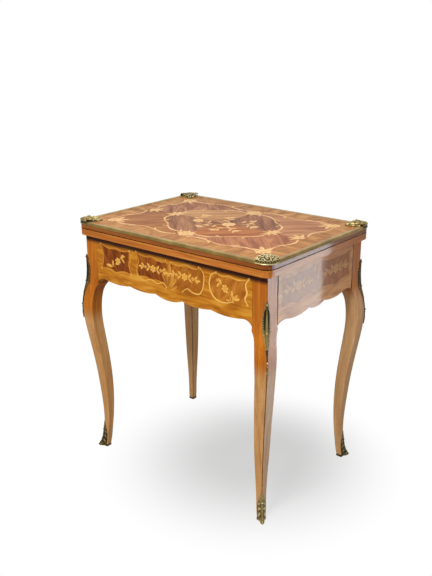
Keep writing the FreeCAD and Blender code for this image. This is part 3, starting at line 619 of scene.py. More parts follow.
def register(piece, body, slot, *stoodFor):
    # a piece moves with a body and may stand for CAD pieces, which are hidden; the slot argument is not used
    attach(piece, body)
    if stoodFor:
        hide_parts(*stoodFor)


def gridPiece(grid, place, material, valueName=None):
    # a grid laid over a form; place gives a point and a value for each crossing, with u and v from 0 to 1
    clearSelection()
    bpy.ops.mesh.primitive_grid_add(x_subdivisions=grid[0], y_subdivisions=grid[1], size=1)
    piece = bpy.context.object
    values = []
    for vertex in piece.data.vertices:
        vertex.co, value = place(vertex.co.x + 0.5, vertex.co.y + 0.5)
        values.append(value)
    if valueName:
        addValues(piece, valueName, values)
    piece.data.materials.append(material)
    return piece


def eased(stations, share):
    # a smooth value between stations of (place, value)
    for (startPlace, startValue), (endPlace, endValue) in zip(stations, stations[1:]):
        if share <= endPlace:
            part = max(0.0, (share - startPlace) / (endPlace - startPlace))
            part = part * part * (3 - 2 * part)
            return startValue + (endValue - startValue) * part
    return stations[-1][1]


def ridgeAt(value, middle, half):
    # 1 at the middle, falling away on both sides of it
    return math.exp(-((value - middle) / half) ** 2)


def wave(turns):
    # 1 at whole turns and 0 halfway between them
    return 0.5 + 0.5 * math.cos(2 * math.pi * turns)


def alongCurve(points, share):
    # a point on the smooth curve through a few points, share from 0 to 1
    place = min(max(share, 0.0), 1.0) * (len(points) - 1)
    index = min(int(place), len(points) - 2)
    part = place - index
    before = Vector(points[max(index - 1, 0)])
    start = Vector(points[index])
    end = Vector(points[index + 1])
    after = Vector(points[min(index + 2, len(points) - 1)])
    bend = 2 * before - 5 * start + 4 * end - after
    twist = -before + 3 * start - 3 * end + after
    return 0.5 * (2 * start + (end - before) * part + bend * part ** 2 + twist * part ** 3)


# marquetry, drawn in millimetres on a flat face and then set on it

veneer = {"thick": 0.4, "reserveLift": 0.08, "plumeLift": 0.12, "scrollLift": 0.16, "stemLift": 0.18,
          "leafLift": 0.20, "petalLift": 0.24, "eyeLift": 0.28, "hair": 0.0025}
hairSteps = itertools.cycle(range(14))


def fanMaster(count, rim, middleTone):
    # a filled circle pulled to an outline from (0, 0) to (0, 1); rim takes the side, -1 to 1, and the rise of
    # a point on the circle and gives its new side and its tone
    clearSelection()
    bpy.ops.mesh.primitive_circle_add(vertices=count, radius=1, fill_type="TRIFAN")
    piece = bpy.context.object
    tones = []
    index = 0
    for vertex in piece.data.vertices:
        if vertex.co.length < 0.5:
            vertex.co = (0, 0.5, 0)
            tones.append(middleTone)
        else:
            turn = 2 * math.pi * index / count
            rise = 0.5 - 0.5 * math.cos(turn)
            side, tone = rim(math.sin(turn), rise)
            vertex.co = (0.5 * side, rise, 0)
            tones.append(tone)
            index += 1
    addValues(piece, "tone", tones)
    piece.data.materials.append(inlayVeneer)
    faceUp(piece)
    return piece


def petalRim(side, rise):
    # round at the tip and narrow at the base
    return side * (0.35 + 0.65 * rise), 0.3 + 0.5 * rise


def leafRim(side, rise):
    # pointed at both ends, light on one side of the rib and scorched on the other
    return math.copysign(abs(side) ** 1.5, side), 0.62 + 0.24 * side


def plumeRim(side, rise):
    return leafRim(side, rise)[0], 0.3 + 0.24 * side


def discRim(side, rise):
    return side, 0.75


petalCut = fanMaster(12, petalRim, 0.66)
leafCut = fanMaster(12, leafRim, 0.64)
plumeCut = fanMaster(12, plumeRim, 0.34)
discCut = fanMaster(10, discRim, 0.45)


def inlay(master, u, v, length, width, turn, lift):
    # a copy of a cut with its base at (u, v), pointing along turn, a hair higher or lower than its neighbours
    place = Matrix.Translation((u, v, lift + veneer["hair"] * next(hairSteps)))
    return copyOf(master, place @ Matrix.Rotation(turn, 4, "Z") @ Matrix.Diagonal((width, length, 1, 1)))


def disc(u, v, across, lift):
    return inlay(discCut, u, v - across / 2, across, across, 0, lift)


# shares of the flower's width
flowerLook = {"petalLong": 0.52, "petalWide": 0.46, "eye": 0.26}


def flower(u, v, across, petals=5, turn=0.0):
    long = across * flowerLook["petalLong"]
    wide = across * flowerLook["petalWide"]
    cuts = []
    for index in range(petals):
        angle = turn + 2 * math.pi * index / petals
        cuts.append(inlay(petalCut, u, v, long, wide, angle, veneer["petalLift"]))
    cuts.append(disc(u, v, across * flowerLook["eye"], veneer["eyeLift"]))
    return cuts


def leaf(u, v, length, turn, plump=0.42):
    return inlay(leafCut, u, v, length, length * plump, turn, veneer["leafLift"])


def plume(u, v, length, turn, plump=0.34):
    # a honey-coloured leaf
    return inlay(plumeCut, u, v, length, length * plump, turn, veneer["plumeLift"])


# shade across a strip, and the tips and eyes of the lines that end in an eye, as shares of their width
ribbonLook = {"shade": 0.25, "tips": 0.4, "eye": 1.4}


def ribbon(points, width, tone=0.85, level=veneer["scrollLift"], tips=0.3):
    # a strip through a few points, widest in its middle
    def place(u, v):
        here = alongCurve(points, u)
        ahead = alongCurve(points, u + 0.01) - alongCurve(points, u - 0.01)
        across = Vector((-ahead.y, ahead.x)).normalized()
        wide = width * (tips + (1 - tips) * math.sin(math.pi * u))
        point = here + across * wide * (v - 0.5)
        return Vector((point.x, point.y, level)), tone - ribbonLook["shade"] * (1 - v)

    return gridPiece((5 * (len(points) - 1), 1), place, inlayVeneer, "tone")


def pointing(way):
    # turn that points a leaf or petal along a direction
    return math.atan2(way.y, way.x) - math.pi / 2


# gap at the end of each scroll as a share of its length, eyes and sprigs as shares of its width
runLook = {"gap": 0.04, "steps": 6, "eye": 1.1, "sprig": 3.2, "sprigTurn": 0.8, "slim": 0.3, "shade": 0.22}


def scrollRun(path, count, swing, width, tone=0.85):
    # a chain of C-scrolls along a path, bowed to each side in turn, with an eye and a sprig where two meet
    look = runLook
    cuts = []
    for index in range(count):
        way = 1 if index % 2 == 0 else -1
        points = []
        for step in range(look["steps"] + 1):
            share = step / look["steps"]
            point, outward = path((index + look["gap"] + (1 - 2 * look["gap"]) * share) / count)
            points.append(point + outward * way * swing * math.sin(math.pi * share))
        cuts.append(ribbon(points, width, tone - look["shade"] * (index % 2)))
        for end in (points[0], points[-1]):
            cuts.append(disc(end.x, end.y, width * look["eye"], veneer["leafLift"]))
        sprigTurn = pointing(outward * -way) + look["sprigTurn"] * way
        cuts.append(leaf(points[-1].x, points[-1].y, width * look["sprig"], sprigTurn, look["slim"]))
    return cuts


def straightPath(start, end):
    start = Vector(start)
    end = Vector(end)
    way = (end - start).normalized()
    outward = Vector((-way.y, way.x))
    return lambda share: (start + (end - start) * share, outward)


def ovalPath(halfX, halfY, fromTurn, toTurn):
    def path(share):
        turn = fromTurn + (toTurn - fromTurn) * share
        outward = Vector((math.cos(turn) / halfX, math.sin(turn) / halfY)).normalized()
        return Vector((halfX * math.cos(turn), halfY * math.sin(turn))), outward
    return path


def reservePanel(cusps, tone):
    # brown panel; its cusps run anticlockwise, each with the bow of the side that follows it, which is
    # negative where that side bows inwards
    outline = []
    for index, (u, v, bow) in enumerate(cusps):
        ahead = cusps[(index + 1) % len(cusps)]
        side = straightPath((u, v), ahead[:2])
        for step in range(10):
            point, inward = side(step / 10)
            outline.append(point - inward * bow * math.sin(math.pi * step / 10))
    clearSelection()
    bpy.ops.mesh.primitive_circle_add(vertices=len(outline), radius=1, fill_type="NGON")
    panel = bpy.context.object
    for vertex, point in zip(panel.data.vertices, outline):
        vertex.co = (point.x, point.y, veneer["reserveLift"])
    faceUp(panel)
    addValues(panel, "tone", [tone] * len(outline))
    panel.data.materials.append(reserveVeneer)
    return panel


def endedRibbon(points, width, tone=0.85):
    # a scroll line with a round eye at each end
    cuts = [ribbon(points, width, tone, tips=ribbonLook["tips"])]
    for end in (points[0], points[-1]):
        cuts.append(disc(end[0], end[1], width * ribbonLook["eye"], veneer["leafLift"]))
    return cuts


def stem(points, width=1.1):
    return ribbon(points, width, tone=0.6, level=veneer["stemLift"], tips=0.6)


# in widths of the flower; leaves by their place along the stem, length and turn
sprayLook = {"foot": (-1.2, -1.05), "bend": (-0.5, -0.7), "tip": (1.2, 0.85), "bud": 0.42, "turn": 0.4,
             "leaves": ((0.05, 1.2, 1.9), (0.1, 0.9, 0.4), (0.3, 0.7, -1.0), (0.7, 0.9, -0.2),
                        (0.8, 0.8, -2.1))}


def spray(u, v, across, lean):
    # one flower on a bent stem, with leaves and a bud; lean is +1 to the right or -1
    look = sprayLook

    def spot(aside, rise):
        return (u + lean * across * aside, v + across * rise)

    foot = spot(*look["foot"])
    tip = spot(*look["tip"])
    cuts = flower(u, v, across, 6, 0.3 * lean)
    cuts.append(stem([foot, spot(*look["bend"]), (u, v), tip]))
    for share, length, turn in look["leaves"]:
        point = alongCurve([foot, (u, v), tip], share)
        cuts.append(leaf(point.x, point.y, across * length, lean * (turn - look["turn"])))
    cuts += flower(tip[0], tip[1], across * look["bud"], 4, 0.4)
    return cuts


# places as shares of the reach to each side, sizes in widths of the flower; the leaves also have a turn
chainLook = {"bend": 2, "sideAt": 0.64, "side": 0.48, "plump": 0.45, "endAt": 0.9, "endDrop": 1, "end": 0.7,
             "endTurn": 1.6, "endPlump": 0.5,
             "leaves": ((0.26, 0.8, 0.7), (0.3, 0.75, 2.3), (0.76, 0.7, 0.8), (0.8, 0.7, 2.3))}


def chain(u, v, across, reach):
    # a flower in the middle of a run of leaves and small flowers
    look = chainLook
    cuts = flower(u, v, across, 6, 0.0)
    half = reach / 2
    low = v - look["bend"]
    high = v + look["bend"]
    cuts.append(stem([(u - reach, low), (u - half, high), (u, v), (u + half, high), (u + reach, low)]))
    for way in (-1, 1):
        cuts += flower(u + way * reach * look["sideAt"], v, across * look["side"], 5, 0.3)
        for share, length, turn in look["leaves"]:
            cuts.append(leaf(u + way * reach * share, v, across * length, -way * turn, look["plump"]))
        end = u + way * reach * look["endAt"]
        endTurn = -way * look["endTurn"]
        cuts.append(leaf(end, v - look["endDrop"], across * look["end"], endTurn, look["endPlump"]))
    return cuts


# shares of the height; plumes at the sides by the place of their foot, length and turn
palmetteLook = {"foot": 0.3, "plume": 0.7, "sidePlump": 0.36, "flowerAt": 0.52, "flower": 0.13,
                "sides": ((0.0, 0.42, 1.1), (0.06, 0.56, 0.65), (0.1, 0.66, 0.3))}


def palmette(u, low, high):
    # upright fan of honey plumes between two panels, with a pale flower on it
    look = palmetteLook
    tall = high - low
    cuts = [plume(u, low + tall * look["foot"], tall * look["plume"], 0)]
    for way in (-1, 1):
        for rise, length, turn in look["sides"]:
            cuts.append(plume(u, low + tall * rise, tall * length, -way * turn, look["sidePlump"]))
    cuts += flower(u, low + tall * look["flowerAt"], tall * look["flower"], 5)
    return cuts


def setOnFace(cuts, name, origin, axes, body, slot, pale):
    # joins the cuts, gives them the thickness of a veneer and sets them on a face of the table
    piece = joined(cuts, name)
    for index, material in enumerate(piece.data.materials):
        if material == inlayVeneer:
            piece.data.materials[index] = pale
    applyModifier(piece, "SOLIDIFY", thickness=veneer["thick"], offset=-1.0)
    uAxis, vAxis = Vector(axes[0]), Vector(axes[1])
    turn = Matrix((uAxis, vAxis, uAxis.cross(vAxis))).transposed().to_4x4()
    piece.data.transform(Matrix.Translation(origin) @ turn @ Matrix.Scale(mm, 4))
    register(piece, body, slot)


# long aprons: a panel at each end and a double one in the middle, places from the middle and down from a line
# that lies a little way below the rim
longApron = {
    # each panel starts with its tone, lighter towards the right: partly the grain of its veneer and partly
    # painted light
    "panels": (
        (0.05, ((-262, -82, -5), (-206, -87, -5), (-148, -80, -4), (-149, -16, -4), (-204, -19, -4),
                (-264, -14, -5))),
        (0.1, ((-118, -81, -5), (-62, -78, -6), (-8, -86, 0), (0, -50, 0), (-6, -20, -4), (-62, -17, -4),
               (-120, -14, -5))),
        (0.6, ((10, -86, -6), (66, -78, -5), (122, -81, 4), (126, -14, -4), (66, -17, -4), (10, -20, 0),
               (2, -50, 0))),
        (0.8, ((158, -82, -3), (214, -86, -4), (268, -79, -5), (272, -14, -4), (212, -18, -3),
               (156, -15, 9))),
    ),
    "scrolls": (
        (4.4, 0.9, ((168, -13), (152, -22), (146, -48), (154, -74), (176, -88), (202, -88), (224, -80))),
        (5.2, 0.9, ((274, -10), (264, -26), (268, -48), (262, -64), (270, -79))),
        (3.8, 0.85, ((110, -10), (126, -24), (126, -56), (114, -82), (92, -86), (70, -78), (52, -90))),
        (3.6, 0.8, ((-118, -74), (-98, -88), (-64, -81), (-42, -87), (-18, -80), (-8, -92))),
        (3.6, 0.55, ((-122, -10), (-112, -36), (-122, -60), (-116, -80))),
        (3.2, 0.48, ((-120, -10), (-92, -18), (-62, -13), (-34, -20), (-8, -14))),
        (3.2, 0.6, ((12, -16), (38, -20), (66, -13), (92, -19), (116, -12))),
        (3.6, 0.5, ((-266, -10), (-256, -48), (-266, -86))),
        (3.6, 0.5, ((-268, -84), (-234, -84), (-206, -92), (-176, -82), (-146, -84))),
        (3.2, 0.48, ((-266, -10), (-234, -20), (-204, -15), (-176, -20), (-146, -12))),
        (4.0, 0.55, ((-150, -14), (-144, -34), (-152, -56), (-142, -82))),
        (3.0, 0.7, ((170, -12), (190, -19), (212, -14), (240, -20), (272, -11))),
    ),
    "drop": 7 * mm, "middle": 3, "palmetteLow": -94, "palmetteHigh": -14, "flower": 21, "chainReach": 46,
    "sprays": ((-196, -52, 1.0, 1), (198, -50, 1.0, -1), (226, -70, 0.5, 1)),
    "chains": ((-56, -47), (60, -47)),
}


def longApronCuts():
    look = longApron
    cuts = []
    for tone, cusps in look["panels"]:
        cuts.append(reservePanel(cusps, tone))
    for width, tone, points in look["scrolls"]:
        cuts += endedRibbon(points, width, tone)
    for u, v, size, lean in look["sprays"]:
        cuts += spray(u, v, look["flower"] * size, lean)
    for u, v in look["chains"]:
        cuts += chain(u, v, look["flower"], look["chainReach"])
    cuts += palmette(look["middle"], look["palmetteLow"], look["palmetteHigh"])
    return cuts


# short aprons: two panels that meet at a palmette; the first is given, the other mirrors it
shortApron = {
    "panel": ((14, -94, -5), (96, -104, -6), (168, -92, -5), (172, -16, -5), (96, -22, -5), (16, -14, -5)),
    "scrolls": (
        (3.6, ((12, -88), (40, -102), (72, -98), (98, -108), (130, -98), (170, -97))),
        (3.6, ((174, -94), (164, -70), (172, -46), (164, -26), (175, -12))),
        (3.0, ((16, -12), (48, -22), (80, -16), (112, -24), (140, -16), (172, -14))),
    ),
    # the panels' tone is raised as painted light on the shaded sides
    "tone": 0.42, "flowerU": 92, "flowerV": -56, "flower": 27, "chainReach": 56,
    "palmetteLow": -104, "palmetteHigh": -14, "scrollTone": 0.55,
}


def mirroredCusps(cusps):
    # the same panel on the other side of the middle, still anticlockwise
    count = len(cusps)
    other = []
    for index in range(count):
        u, v, bow = cusps[count - 1 - index]
        other.append((-u, v, cusps[count - 2 - index][2]))
    return other


def shortApronCuts():
    look = shortApron
    cuts = []
    for cusps in (look["panel"], mirroredCusps(look["panel"])):
        cuts.append(reservePanel(cusps, look["tone"]))
    for way in (-1, 1):
        for width, points in look["scrolls"]:
            cuts += endedRibbon([(way * u, v) for u, v in points], width, look["scrollTone"])
        cuts += chain(way * look["flowerU"], look["flowerV"], look["flower"], look["chainReach"])
    cuts += palmette(0, look["palmetteLow"], look["palmetteHigh"])
    return cuts


# for each side: the cuts, where their middle goes, the way to their right and the pale veneer
apronFaces = {
    "front": (longApronCuts, (0, frontFace, rimLevel - longApron["drop"]), (1, 0, 0), inlayVeneer),
    "back": (longApronCuts, (0, -frontFace, rimLevel - longApron["drop"]), (-1, 0, 0), inlayVeneer),
    "right": (shortApronCuts, (rightFace, 0, rimLevel), (0, 1, 0), sideInlayPaintedLight),
    "left": (shortApronCuts, (-rightFace, 0, rimLevel), (0, -1, 0), sideInlayPaintedLight),
}
for side, (apronCuts, origin, rightward, pale) in apronFaces.items():
    setOnFace(apronCuts(), "marquetry_" + side, origin, (rightward, upward), "frame", "apron_veneer", pale)
print("marquetry laid on the aprons")

# top: a frame of strapwork, an oval of C-scrolls and a bouquet, places from the middle
topInlay = {
    "frameU": 279, "frameV": 176, "gap": 22, "strapWidth": 6.5, "strapSwing": 8.5, "cornerFlower": 34,
    "cornerLeaf": 40, "cornerLeafIn": 12, "cornerIn": 6, "sideFlower": 26, "sideLeaf": 34, "sideIn": 8,
    "ovalU": 178, "ovalV": 148, "ovalWidth": 6.0, "ovalSwing": 7.0, "ovalGap": 0.14, "ovalFlower": 22,
    "ovalLeafOut": 30, "ovalLeafIn": 26, "ovalPlump": 0.34, "stemWidth": 2.2, "stemLeaf": 24, "slim": 0.32,
    "stemLeaves": ((0.35, 0.8), (0.55, -0.8), (0.75, 0.7), (0.85, -0.7)),
    "flowers": (
        (28, -3, 40, 8), (28, -3, 22, 6), (-72, -21, 32, 7), (105, 14, 22, 5), (-25, -72, 18, 5),
        (33, -79, 18, 5), (-96, 44, 16, 5), (62, 66, 16, 5), (-20, 60, 18, 5), (92, -52, 15, 5),
    ),
    "stems": (
        ((28, -3), (-10, -28), (-42, -20), (-72, -21)),
        ((28, -3), (44, 34), (72, 54), (62, 66)),
        ((28, -3), (64, 24), (86, 22), (105, 14)),
        ((28, -3), (40, -36), (33, -79)),
        ((28, -3), (-4, -44), (-25, -72)),
        ((28, -3), (0, 34), (-20, 60)),
        ((-72, -21), (-92, 10), (-96, 44)),
        ((40, -36), (64, -40), (92, -52)),
    ),
}


def strapwork():
    look = topInlay
    u, v, gap = look["frameU"], look["frameV"], look["gap"]
    slim = look["slim"]
    cornerIn, leafIn = look["cornerIn"], look["cornerLeafIn"]
    cuts = []
    for way in (-1, 1):
        for end in (-1, 1):
            longRun = straightPath((end * gap, way * v), (end * (u - gap), way * v))
            shortRun = straightPath((way * u, end * gap), (way * u, end * (v - gap)))
            cuts += scrollRun(longRun, 3, look["strapSwing"], look["strapWidth"])
            cuts += scrollRun(shortRun, 2, look["strapSwing"], look["strapWidth"])
            cuts += flower(way * (u - cornerIn), end * (v - cornerIn), look["cornerFlower"], 7, 0.3)
            for turn in (-0.9, 0.0, 0.9):
                inwards = pointing(Vector((-way, -end))) + turn
                cuts.append(leaf(way * (u - leafIn), end * (v - leafIn), look["cornerLeaf"], inwards, slim))
        middleV = way * (v - look["sideIn"])
        middleU = way * (u - look["sideIn"])
        cuts += flower(0, middleV, look["sideFlower"], 6)
        cuts += flower(middleU, 0, look["sideFlower"], 6)
        for spread in (-1.2, -0.4, 0.4, 1.2):
            cuts.append(leaf(0, middleV, look["sideLeaf"], pointing(Vector((0, -way))) + spread, slim))
            cuts.append(leaf(middleU, 0, look["sideLeaf"], pointing(Vector((-way, 0))) + spread, slim))
    return cuts


def ovalScrolls():
    look = topInlay
    cuts = []
    for index in range(4):
        turn = math.pi / 2 * index
        start = turn + look["ovalGap"]
        path = ovalPath(look["ovalU"], look["ovalV"], start, start + math.pi / 2 - 2 * look["ovalGap"])
        cuts += scrollRun(path, 3, look["ovalSwing"], look["ovalWidth"])
        end = Vector((look["ovalU"] * math.cos(turn), look["ovalV"] * math.sin(turn)))
        cuts += flower(end.x, end.y, look["ovalFlower"], 5, turn)
        for spread in (-1.3, -0.5, 0.5, 1.3):
            for way, length in ((end, look["ovalLeafOut"]), (-end, look["ovalLeafIn"])):
                cuts.append(leaf(end.x, end.y, length, pointing(way) + spread, look["ovalPlump"]))
    return cuts


def bouquet():
    look = topInlay
    cuts = []
    for u, v, across, petals in look["flowers"]:
        cuts += flower(u, v, across, petals, u * 0.02)
    for points in look["stems"]:
        cuts.append(stem(points, look["stemWidth"]))
        for share, turn in look["stemLeaves"]:
            point = alongCurve(points, share)
            ahead = alongCurve(points, share + 0.02) - point
            cuts.append(leaf(point.x, point.y, look["stemLeaf"], pointing(ahead) + turn, look["slim"]))
    return cuts


setOnFace(strapwork() + ovalScrolls() + bouquet(), "marquetry_top", (0, 0, topLevel), ((1, 0, 0), (0, 1, 0)),
          "upper_leaf", "top_veneer", topInlayVeneer)
discard(petalCut, leafCut, plumeCut, discCut)
print("marquetry laid on the top")


# castings, modelled for the front right corner and copied to the others

smoothAngle = math.radians(55)


def corneredCopies(master, node, body, cutBack=False):
    # mirrored copies of a front right casting, one for each corner; cutBack ends the back ones at the edge
    for corner, (sideX, sideY) in corners.items():
        piece = copyOf(master, Matrix.Diagonal((sideX, sideY, 1, 1)))
        piece.name = "casting_" + node + "_" + corner
        if sideX * sideY < 0:
            piece.data.flip_normals()
        if cutBack and sideY < 0:
            editAll(piece)
            bpy.ops.mesh.bisect(plane_co=(0, halfTopY, 0), plane_no=(0, 1, 0), clear_outer=True,
                                use_fill=True)
            endEdit()
        choose(piece)
        bpy.ops.object.shade_smooth_by_angle(angle=smoothAngle)
        register(piece, body, "cast_brass", node + "_" + corner)
    discard(master)


def castSheet(look, place):
    # a relief of even thickness
    sheet = gridPiece(look["grid"], place, castMetal, "worn")
    tidyMesh(sheet)
    applyModifier(sheet, "SOLIDIFY", thickness=look["wall"] * mm, offset=-1.0)
    return sheet


def bead(radius, point, outward, flat=0.8):
    # a flattened ball on a point, bright on its top, which lies along outward; radius in millimetres
    clearSelection()
    bpy.ops.mesh.primitive_uv_sphere_add(segments=12, ring_count=8, radius=radius * mm)
    bpy.ops.transform.resize(value=(1, 1, flat))
    bpy.ops.object.transform_apply(location=True, rotation=True, scale=True)
    piece = bpy.context.object
    tall = radius * mm * flat
    addValues(piece, "worn", [0.35 + 0.6 * max(0.0, vertex.co.z / tall) for vertex in piece.data.vertices])
    piece.data.materials.append(castMetal)
    piece.data.transform(Matrix.Translation(point) @ outward.to_track_quat("Z", "Y").to_matrix().to_4x4())
    return piece


# millimetres and shares; eyes of the rolled scrolls: place along the rim, place inwards and way of winding
cornerLook = {"reach": 41, "radius": 25, "proud": 1.8, "skirt": 5.0, "rise": 10.0, "inner": 10, "belly": 76,
              "along": 84, "across": 32, "pitch": 9.0, "wall": 1.1, "rimShare": 0.34, "bead": 2.4,
              "ropeRadius": 1.7, "ropeLevel": 1.2, "ropeTurns": 16, "ropeTwist": 0.16, "ropeGrid": (10, 100),
              "block": 0.72, "wallShare": 0.14, "groove": 0.34, "least": 0.3, "grid": (130, 62),
              "lattice": 11, "lowRim": 0.16, "highRim": 0.2, "rimProud": 0.8, "pierced": 1.0,
              "leastProud": 0.5,
              "eyes": ((0.10, 0.40, 1), (0.30, 0.62, -1), (0.5, 0.28, 1), (0.70, 0.62, 1), (0.90, 0.40, -1),
                       (0.5, 0.86, -1))}


def cornerRim(share, proud):
    # plan of the rim as insets from the right and the front edge, from one end of the mount to the other
    look = cornerLook
    radius = look["radius"] + proud
    arc = radius * math.pi / 2
    straight = look["reach"] - look["radius"]
    along = share * (2 * straight + arc)
    if along < straight:
        return Vector((look["reach"] - along, -proud))
    if along > straight + arc:
        return Vector((-proud, look["radius"] + along - straight - arc))
    turn = (along - straight) / radius
    return Vector((look["radius"] - radius * math.sin(turn), look["radius"] - radius * math.cos(turn)))


def cornerInner(share):
    look = cornerLook
    start = Vector((look["reach"], look["inner"]))
    belly = Vector((look["belly"], look["belly"]))
    end = Vector((look["inner"], look["reach"]))
    return start * (1 - share) ** 2 + belly * 2 * share * (1 - share) + end * share ** 2


def cornerPoint(inset, level):
    return Vector((halfTopX - inset.x * mm, -halfTopY + inset.y * mm, topLevel + level * mm))


def crownHeight(share, inward):
    # height of the rockwork over the top, and how worn it is: scrolls wound round their eyes on a steep block
    look = cornerLook
    here = Vector((share * look["along"], inward * look["across"]))
    nearest = None
    for eyeShare, eyeInward, way in look["eyes"]:
        arm = here - Vector((eyeShare * look["along"], eyeInward * look["across"]))
        if nearest is None or arm.length < nearest[0].length:
            nearest = (arm, way)
    arm, way = nearest
    ridge = wave(arm.length / look["pitch"] + way * math.atan2(arm.y, arm.x) / (2 * math.pi))
    wall = min(1.0, (1 - inward) / look["wallShare"]) ** 0.5
    dome = look["block"] + (1 - look["block"]) * math.sin(math.pi * inward ** 0.8)
    level = look["rise"] * dome * wall * (1 - look["groove"] * (1 - ridge))
    return max(level, look["least"]), 0.1 + 0.8 * ridge ** 1.3 + 0.35 * max(0.0, inward - 0.4)


def cornerSpot(share, inward):
    # a point on top of the rockwork
    rim = cornerRim(share, 0)
    return cornerPoint(rim + (cornerInner(share) - rim) * inward, crownHeight(share, inward)[0])


def cornerSkirt(share, rise):
    # how far the band round the edge stands out, and its wear: a pierced lattice between two plain rims
    look = cornerLook
    bars = look["lattice"] * share
    crossing = abs(math.sin(math.pi * (bars + rise))) * abs(math.sin(math.pi * (bars - rise)))
    edge = max(ridgeAt(rise, 0, look["lowRim"]), ridgeAt(rise, 1, look["highRim"]))
    proud = look["proud"] + look["rimProud"] * edge - look["pierced"] * (1 - edge) * (1 - crossing)
    return max(proud, look["leastProud"]), 0.06 + 0.8 * edge + 0.5 * crossing * (1 - edge)


def cornerMaster():
    look = cornerLook

    def place(u, v):
        if v < look["rimShare"]:
            rise = v / look["rimShare"]
            proud, worn = cornerSkirt(u, rise)
            level = -look["skirt"] + (look["skirt"] + crownHeight(u, 0)[0]) * rise
            return cornerPoint(cornerRim(u, proud), level), worn
        inward = (v - look["rimShare"]) / (1 - look["rimShare"])
        level, worn = crownHeight(u, inward)
        rim = cornerRim(u, look["proud"])
        return cornerPoint(rim + (cornerInner(u) - rim) * inward, level), worn

    def roll(u, v):
        share = 0.02 + 0.96 * v
        here = cornerPoint(cornerInner(share), look["ropeLevel"])
        ahead = (cornerPoint(cornerInner(share + 0.01), look["ropeLevel"]) - here).normalized()
        across = ahead.cross(upward)
        turn = 2 * math.pi * u
        twist = 1 + look["ropeTwist"] * math.cos(2 * math.pi * look["ropeTurns"] * v)
        radius = look["ropeRadius"] * mm * (0.4 + 0.6 * math.sin(math.pi * v)) * twist
        outward = across * math.cos(turn) + upward * math.sin(turn)
        return here + outward * radius, 0.35 + 0.4 * math.sin(turn)

    parts = [castSheet(look, place)]
    for share, inward, _ in look["eyes"]:
        parts.append(bead(look["bead"], cornerSpot(share, inward), upward))
    rope = gridPiece(look["ropeGrid"], roll, castMetal, "worn")
    tidyMesh(rope, fill=True)
    parts.append(rope)
    return joined(parts, "cornerMaster")


corneredCopies(cornerMaster(), "corner_mount", "upper_leaf", True)
print("corner mounts cast")

# moulded bands between the corner mounts: insets from the edge and levels from the top, in millimetres
bandLook = {"profile": ((11.0, -0.2), (10.6, 1.0), (7.4, 1.8), (3.0, 1.6), (-0.2, 0.8), (-0.9, -1.2),
                        (-0.5, -3.4), (-0.9, -5.4), (-0.5, -7.2), (1.6, -7.4)),
            "rubbed": ((0.34, 1.0), (0.52, 0.0)), "grid": (27, 24), "wall": 0.8, "tuck": 6 * mm,
            "backLevel": 0.3, "smooth": math.radians(50)}


def edgeBand(side):
    # its ends are tucked under the mounts; the back one stays within the edge, clear of the hinges, and low,
    # clear of the frame under the open top
    node = "edge_band_" + side
    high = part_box(node)[1]
    reachX = high[0] + bandLook["tuck"]
    reachY = high[1] + bandLook["tuck"]
    way = -1 if side in ("front", "left") else 1

    def place(u, v):
        inset, level = alongCurve(bandLook["profile"], u)
        if side == "back":
            inset = max(inset, 0.0)
            level = min(level, bandLook["backLevel"])
        if side in ("front", "back"):
            edge = Vector((reachX * (2 * v - 1), way * (halfTopY - inset * mm), 0))
        else:
            edge = Vector((way * (halfTopX - inset * mm), reachY * (2 * v - 1), 0))
        return edge + upward * (topLevel + level * mm), eased(bandLook["rubbed"], u)

    piece = gridPiece(bandLook["grid"], place, bandBrass, "worn")
    piece.name = "moulded_" + node
    applyModifier(piece, "SOLIDIFY", thickness=bandLook["wall"] * mm, offset=0.0)
    tidyMesh(piece)
    bpy.ops.object.shade_smooth_by_angle(angle=bandLook["smooth"])
    register(piece, "upper_leaf", "cast_brass", node)


for side in ("front", "back", "left", "right"):
    edgeBand(side)
print("edge bands laid")

legMesh = nodes["leg_front_right"].data
legTree = BVHTree.FromPolygons([vertex.co for vertex in legMesh.vertices],
                               [tuple(face.vertices) for face in legMesh.polygons])
diagonal = Vector((1, -1, 0)).normalized()
sideways = Vector((1, 1, 0)).normalized()
postAxis = Vector((rightFace - postSide / 2, frontFace + postSide / 2, 0))
outside = 0.1


def legSkin(across, height):
    # point on the leg's outer faces, across from the arris, both in millimetres; looked for from outside
    start = postAxis + sideways * across * mm + upward * height * mm + diagonal * outside
    return legTree.ray_cast(start, -diagonal)[0]


# half widths from the tail to the crest; a frame stands over a feathered leaf with a thin tail
kneeLook = {"low": 447, "high": 648, "wall": 1.2, "leafFoot": 0.39, "frameFoot": 0.61, "frameHead": 0.89,
            "ribHalf": 0.12, "feathers": 27, "veinSlant": 2.2, "ruffle": 0.10, "leafHeight": 3.6,
            "rimAt": 0.84, "rimHalf": 0.16, "rimHeight": 3.4, "beads": 32, "bloomAt": 0.09,
            "bloomHalf": 0.035, "dropProud": 0.2, "grid": (32, 190),
            "outline": ((0, 0.6), (0.04, 1.8), (0.09, 3.4), (0.14, 1.6), (0.22, 1.5), (0.3, 2.2), (0.39, 3.4),
                        (0.5, 6.4), (0.57, 9.0), (0.6, 10.8), (0.64, 9.8), (0.72, 10.4), (0.8, 10.0),
                        (0.87, 7.6), (0.9, 4.8), (0.94, 5.8), (0.97, 4.0), (1.0, 0.6)),
            "drops": ((640, 2.0), (566, 2.2), (493, 2.8), (484, 1.4))}


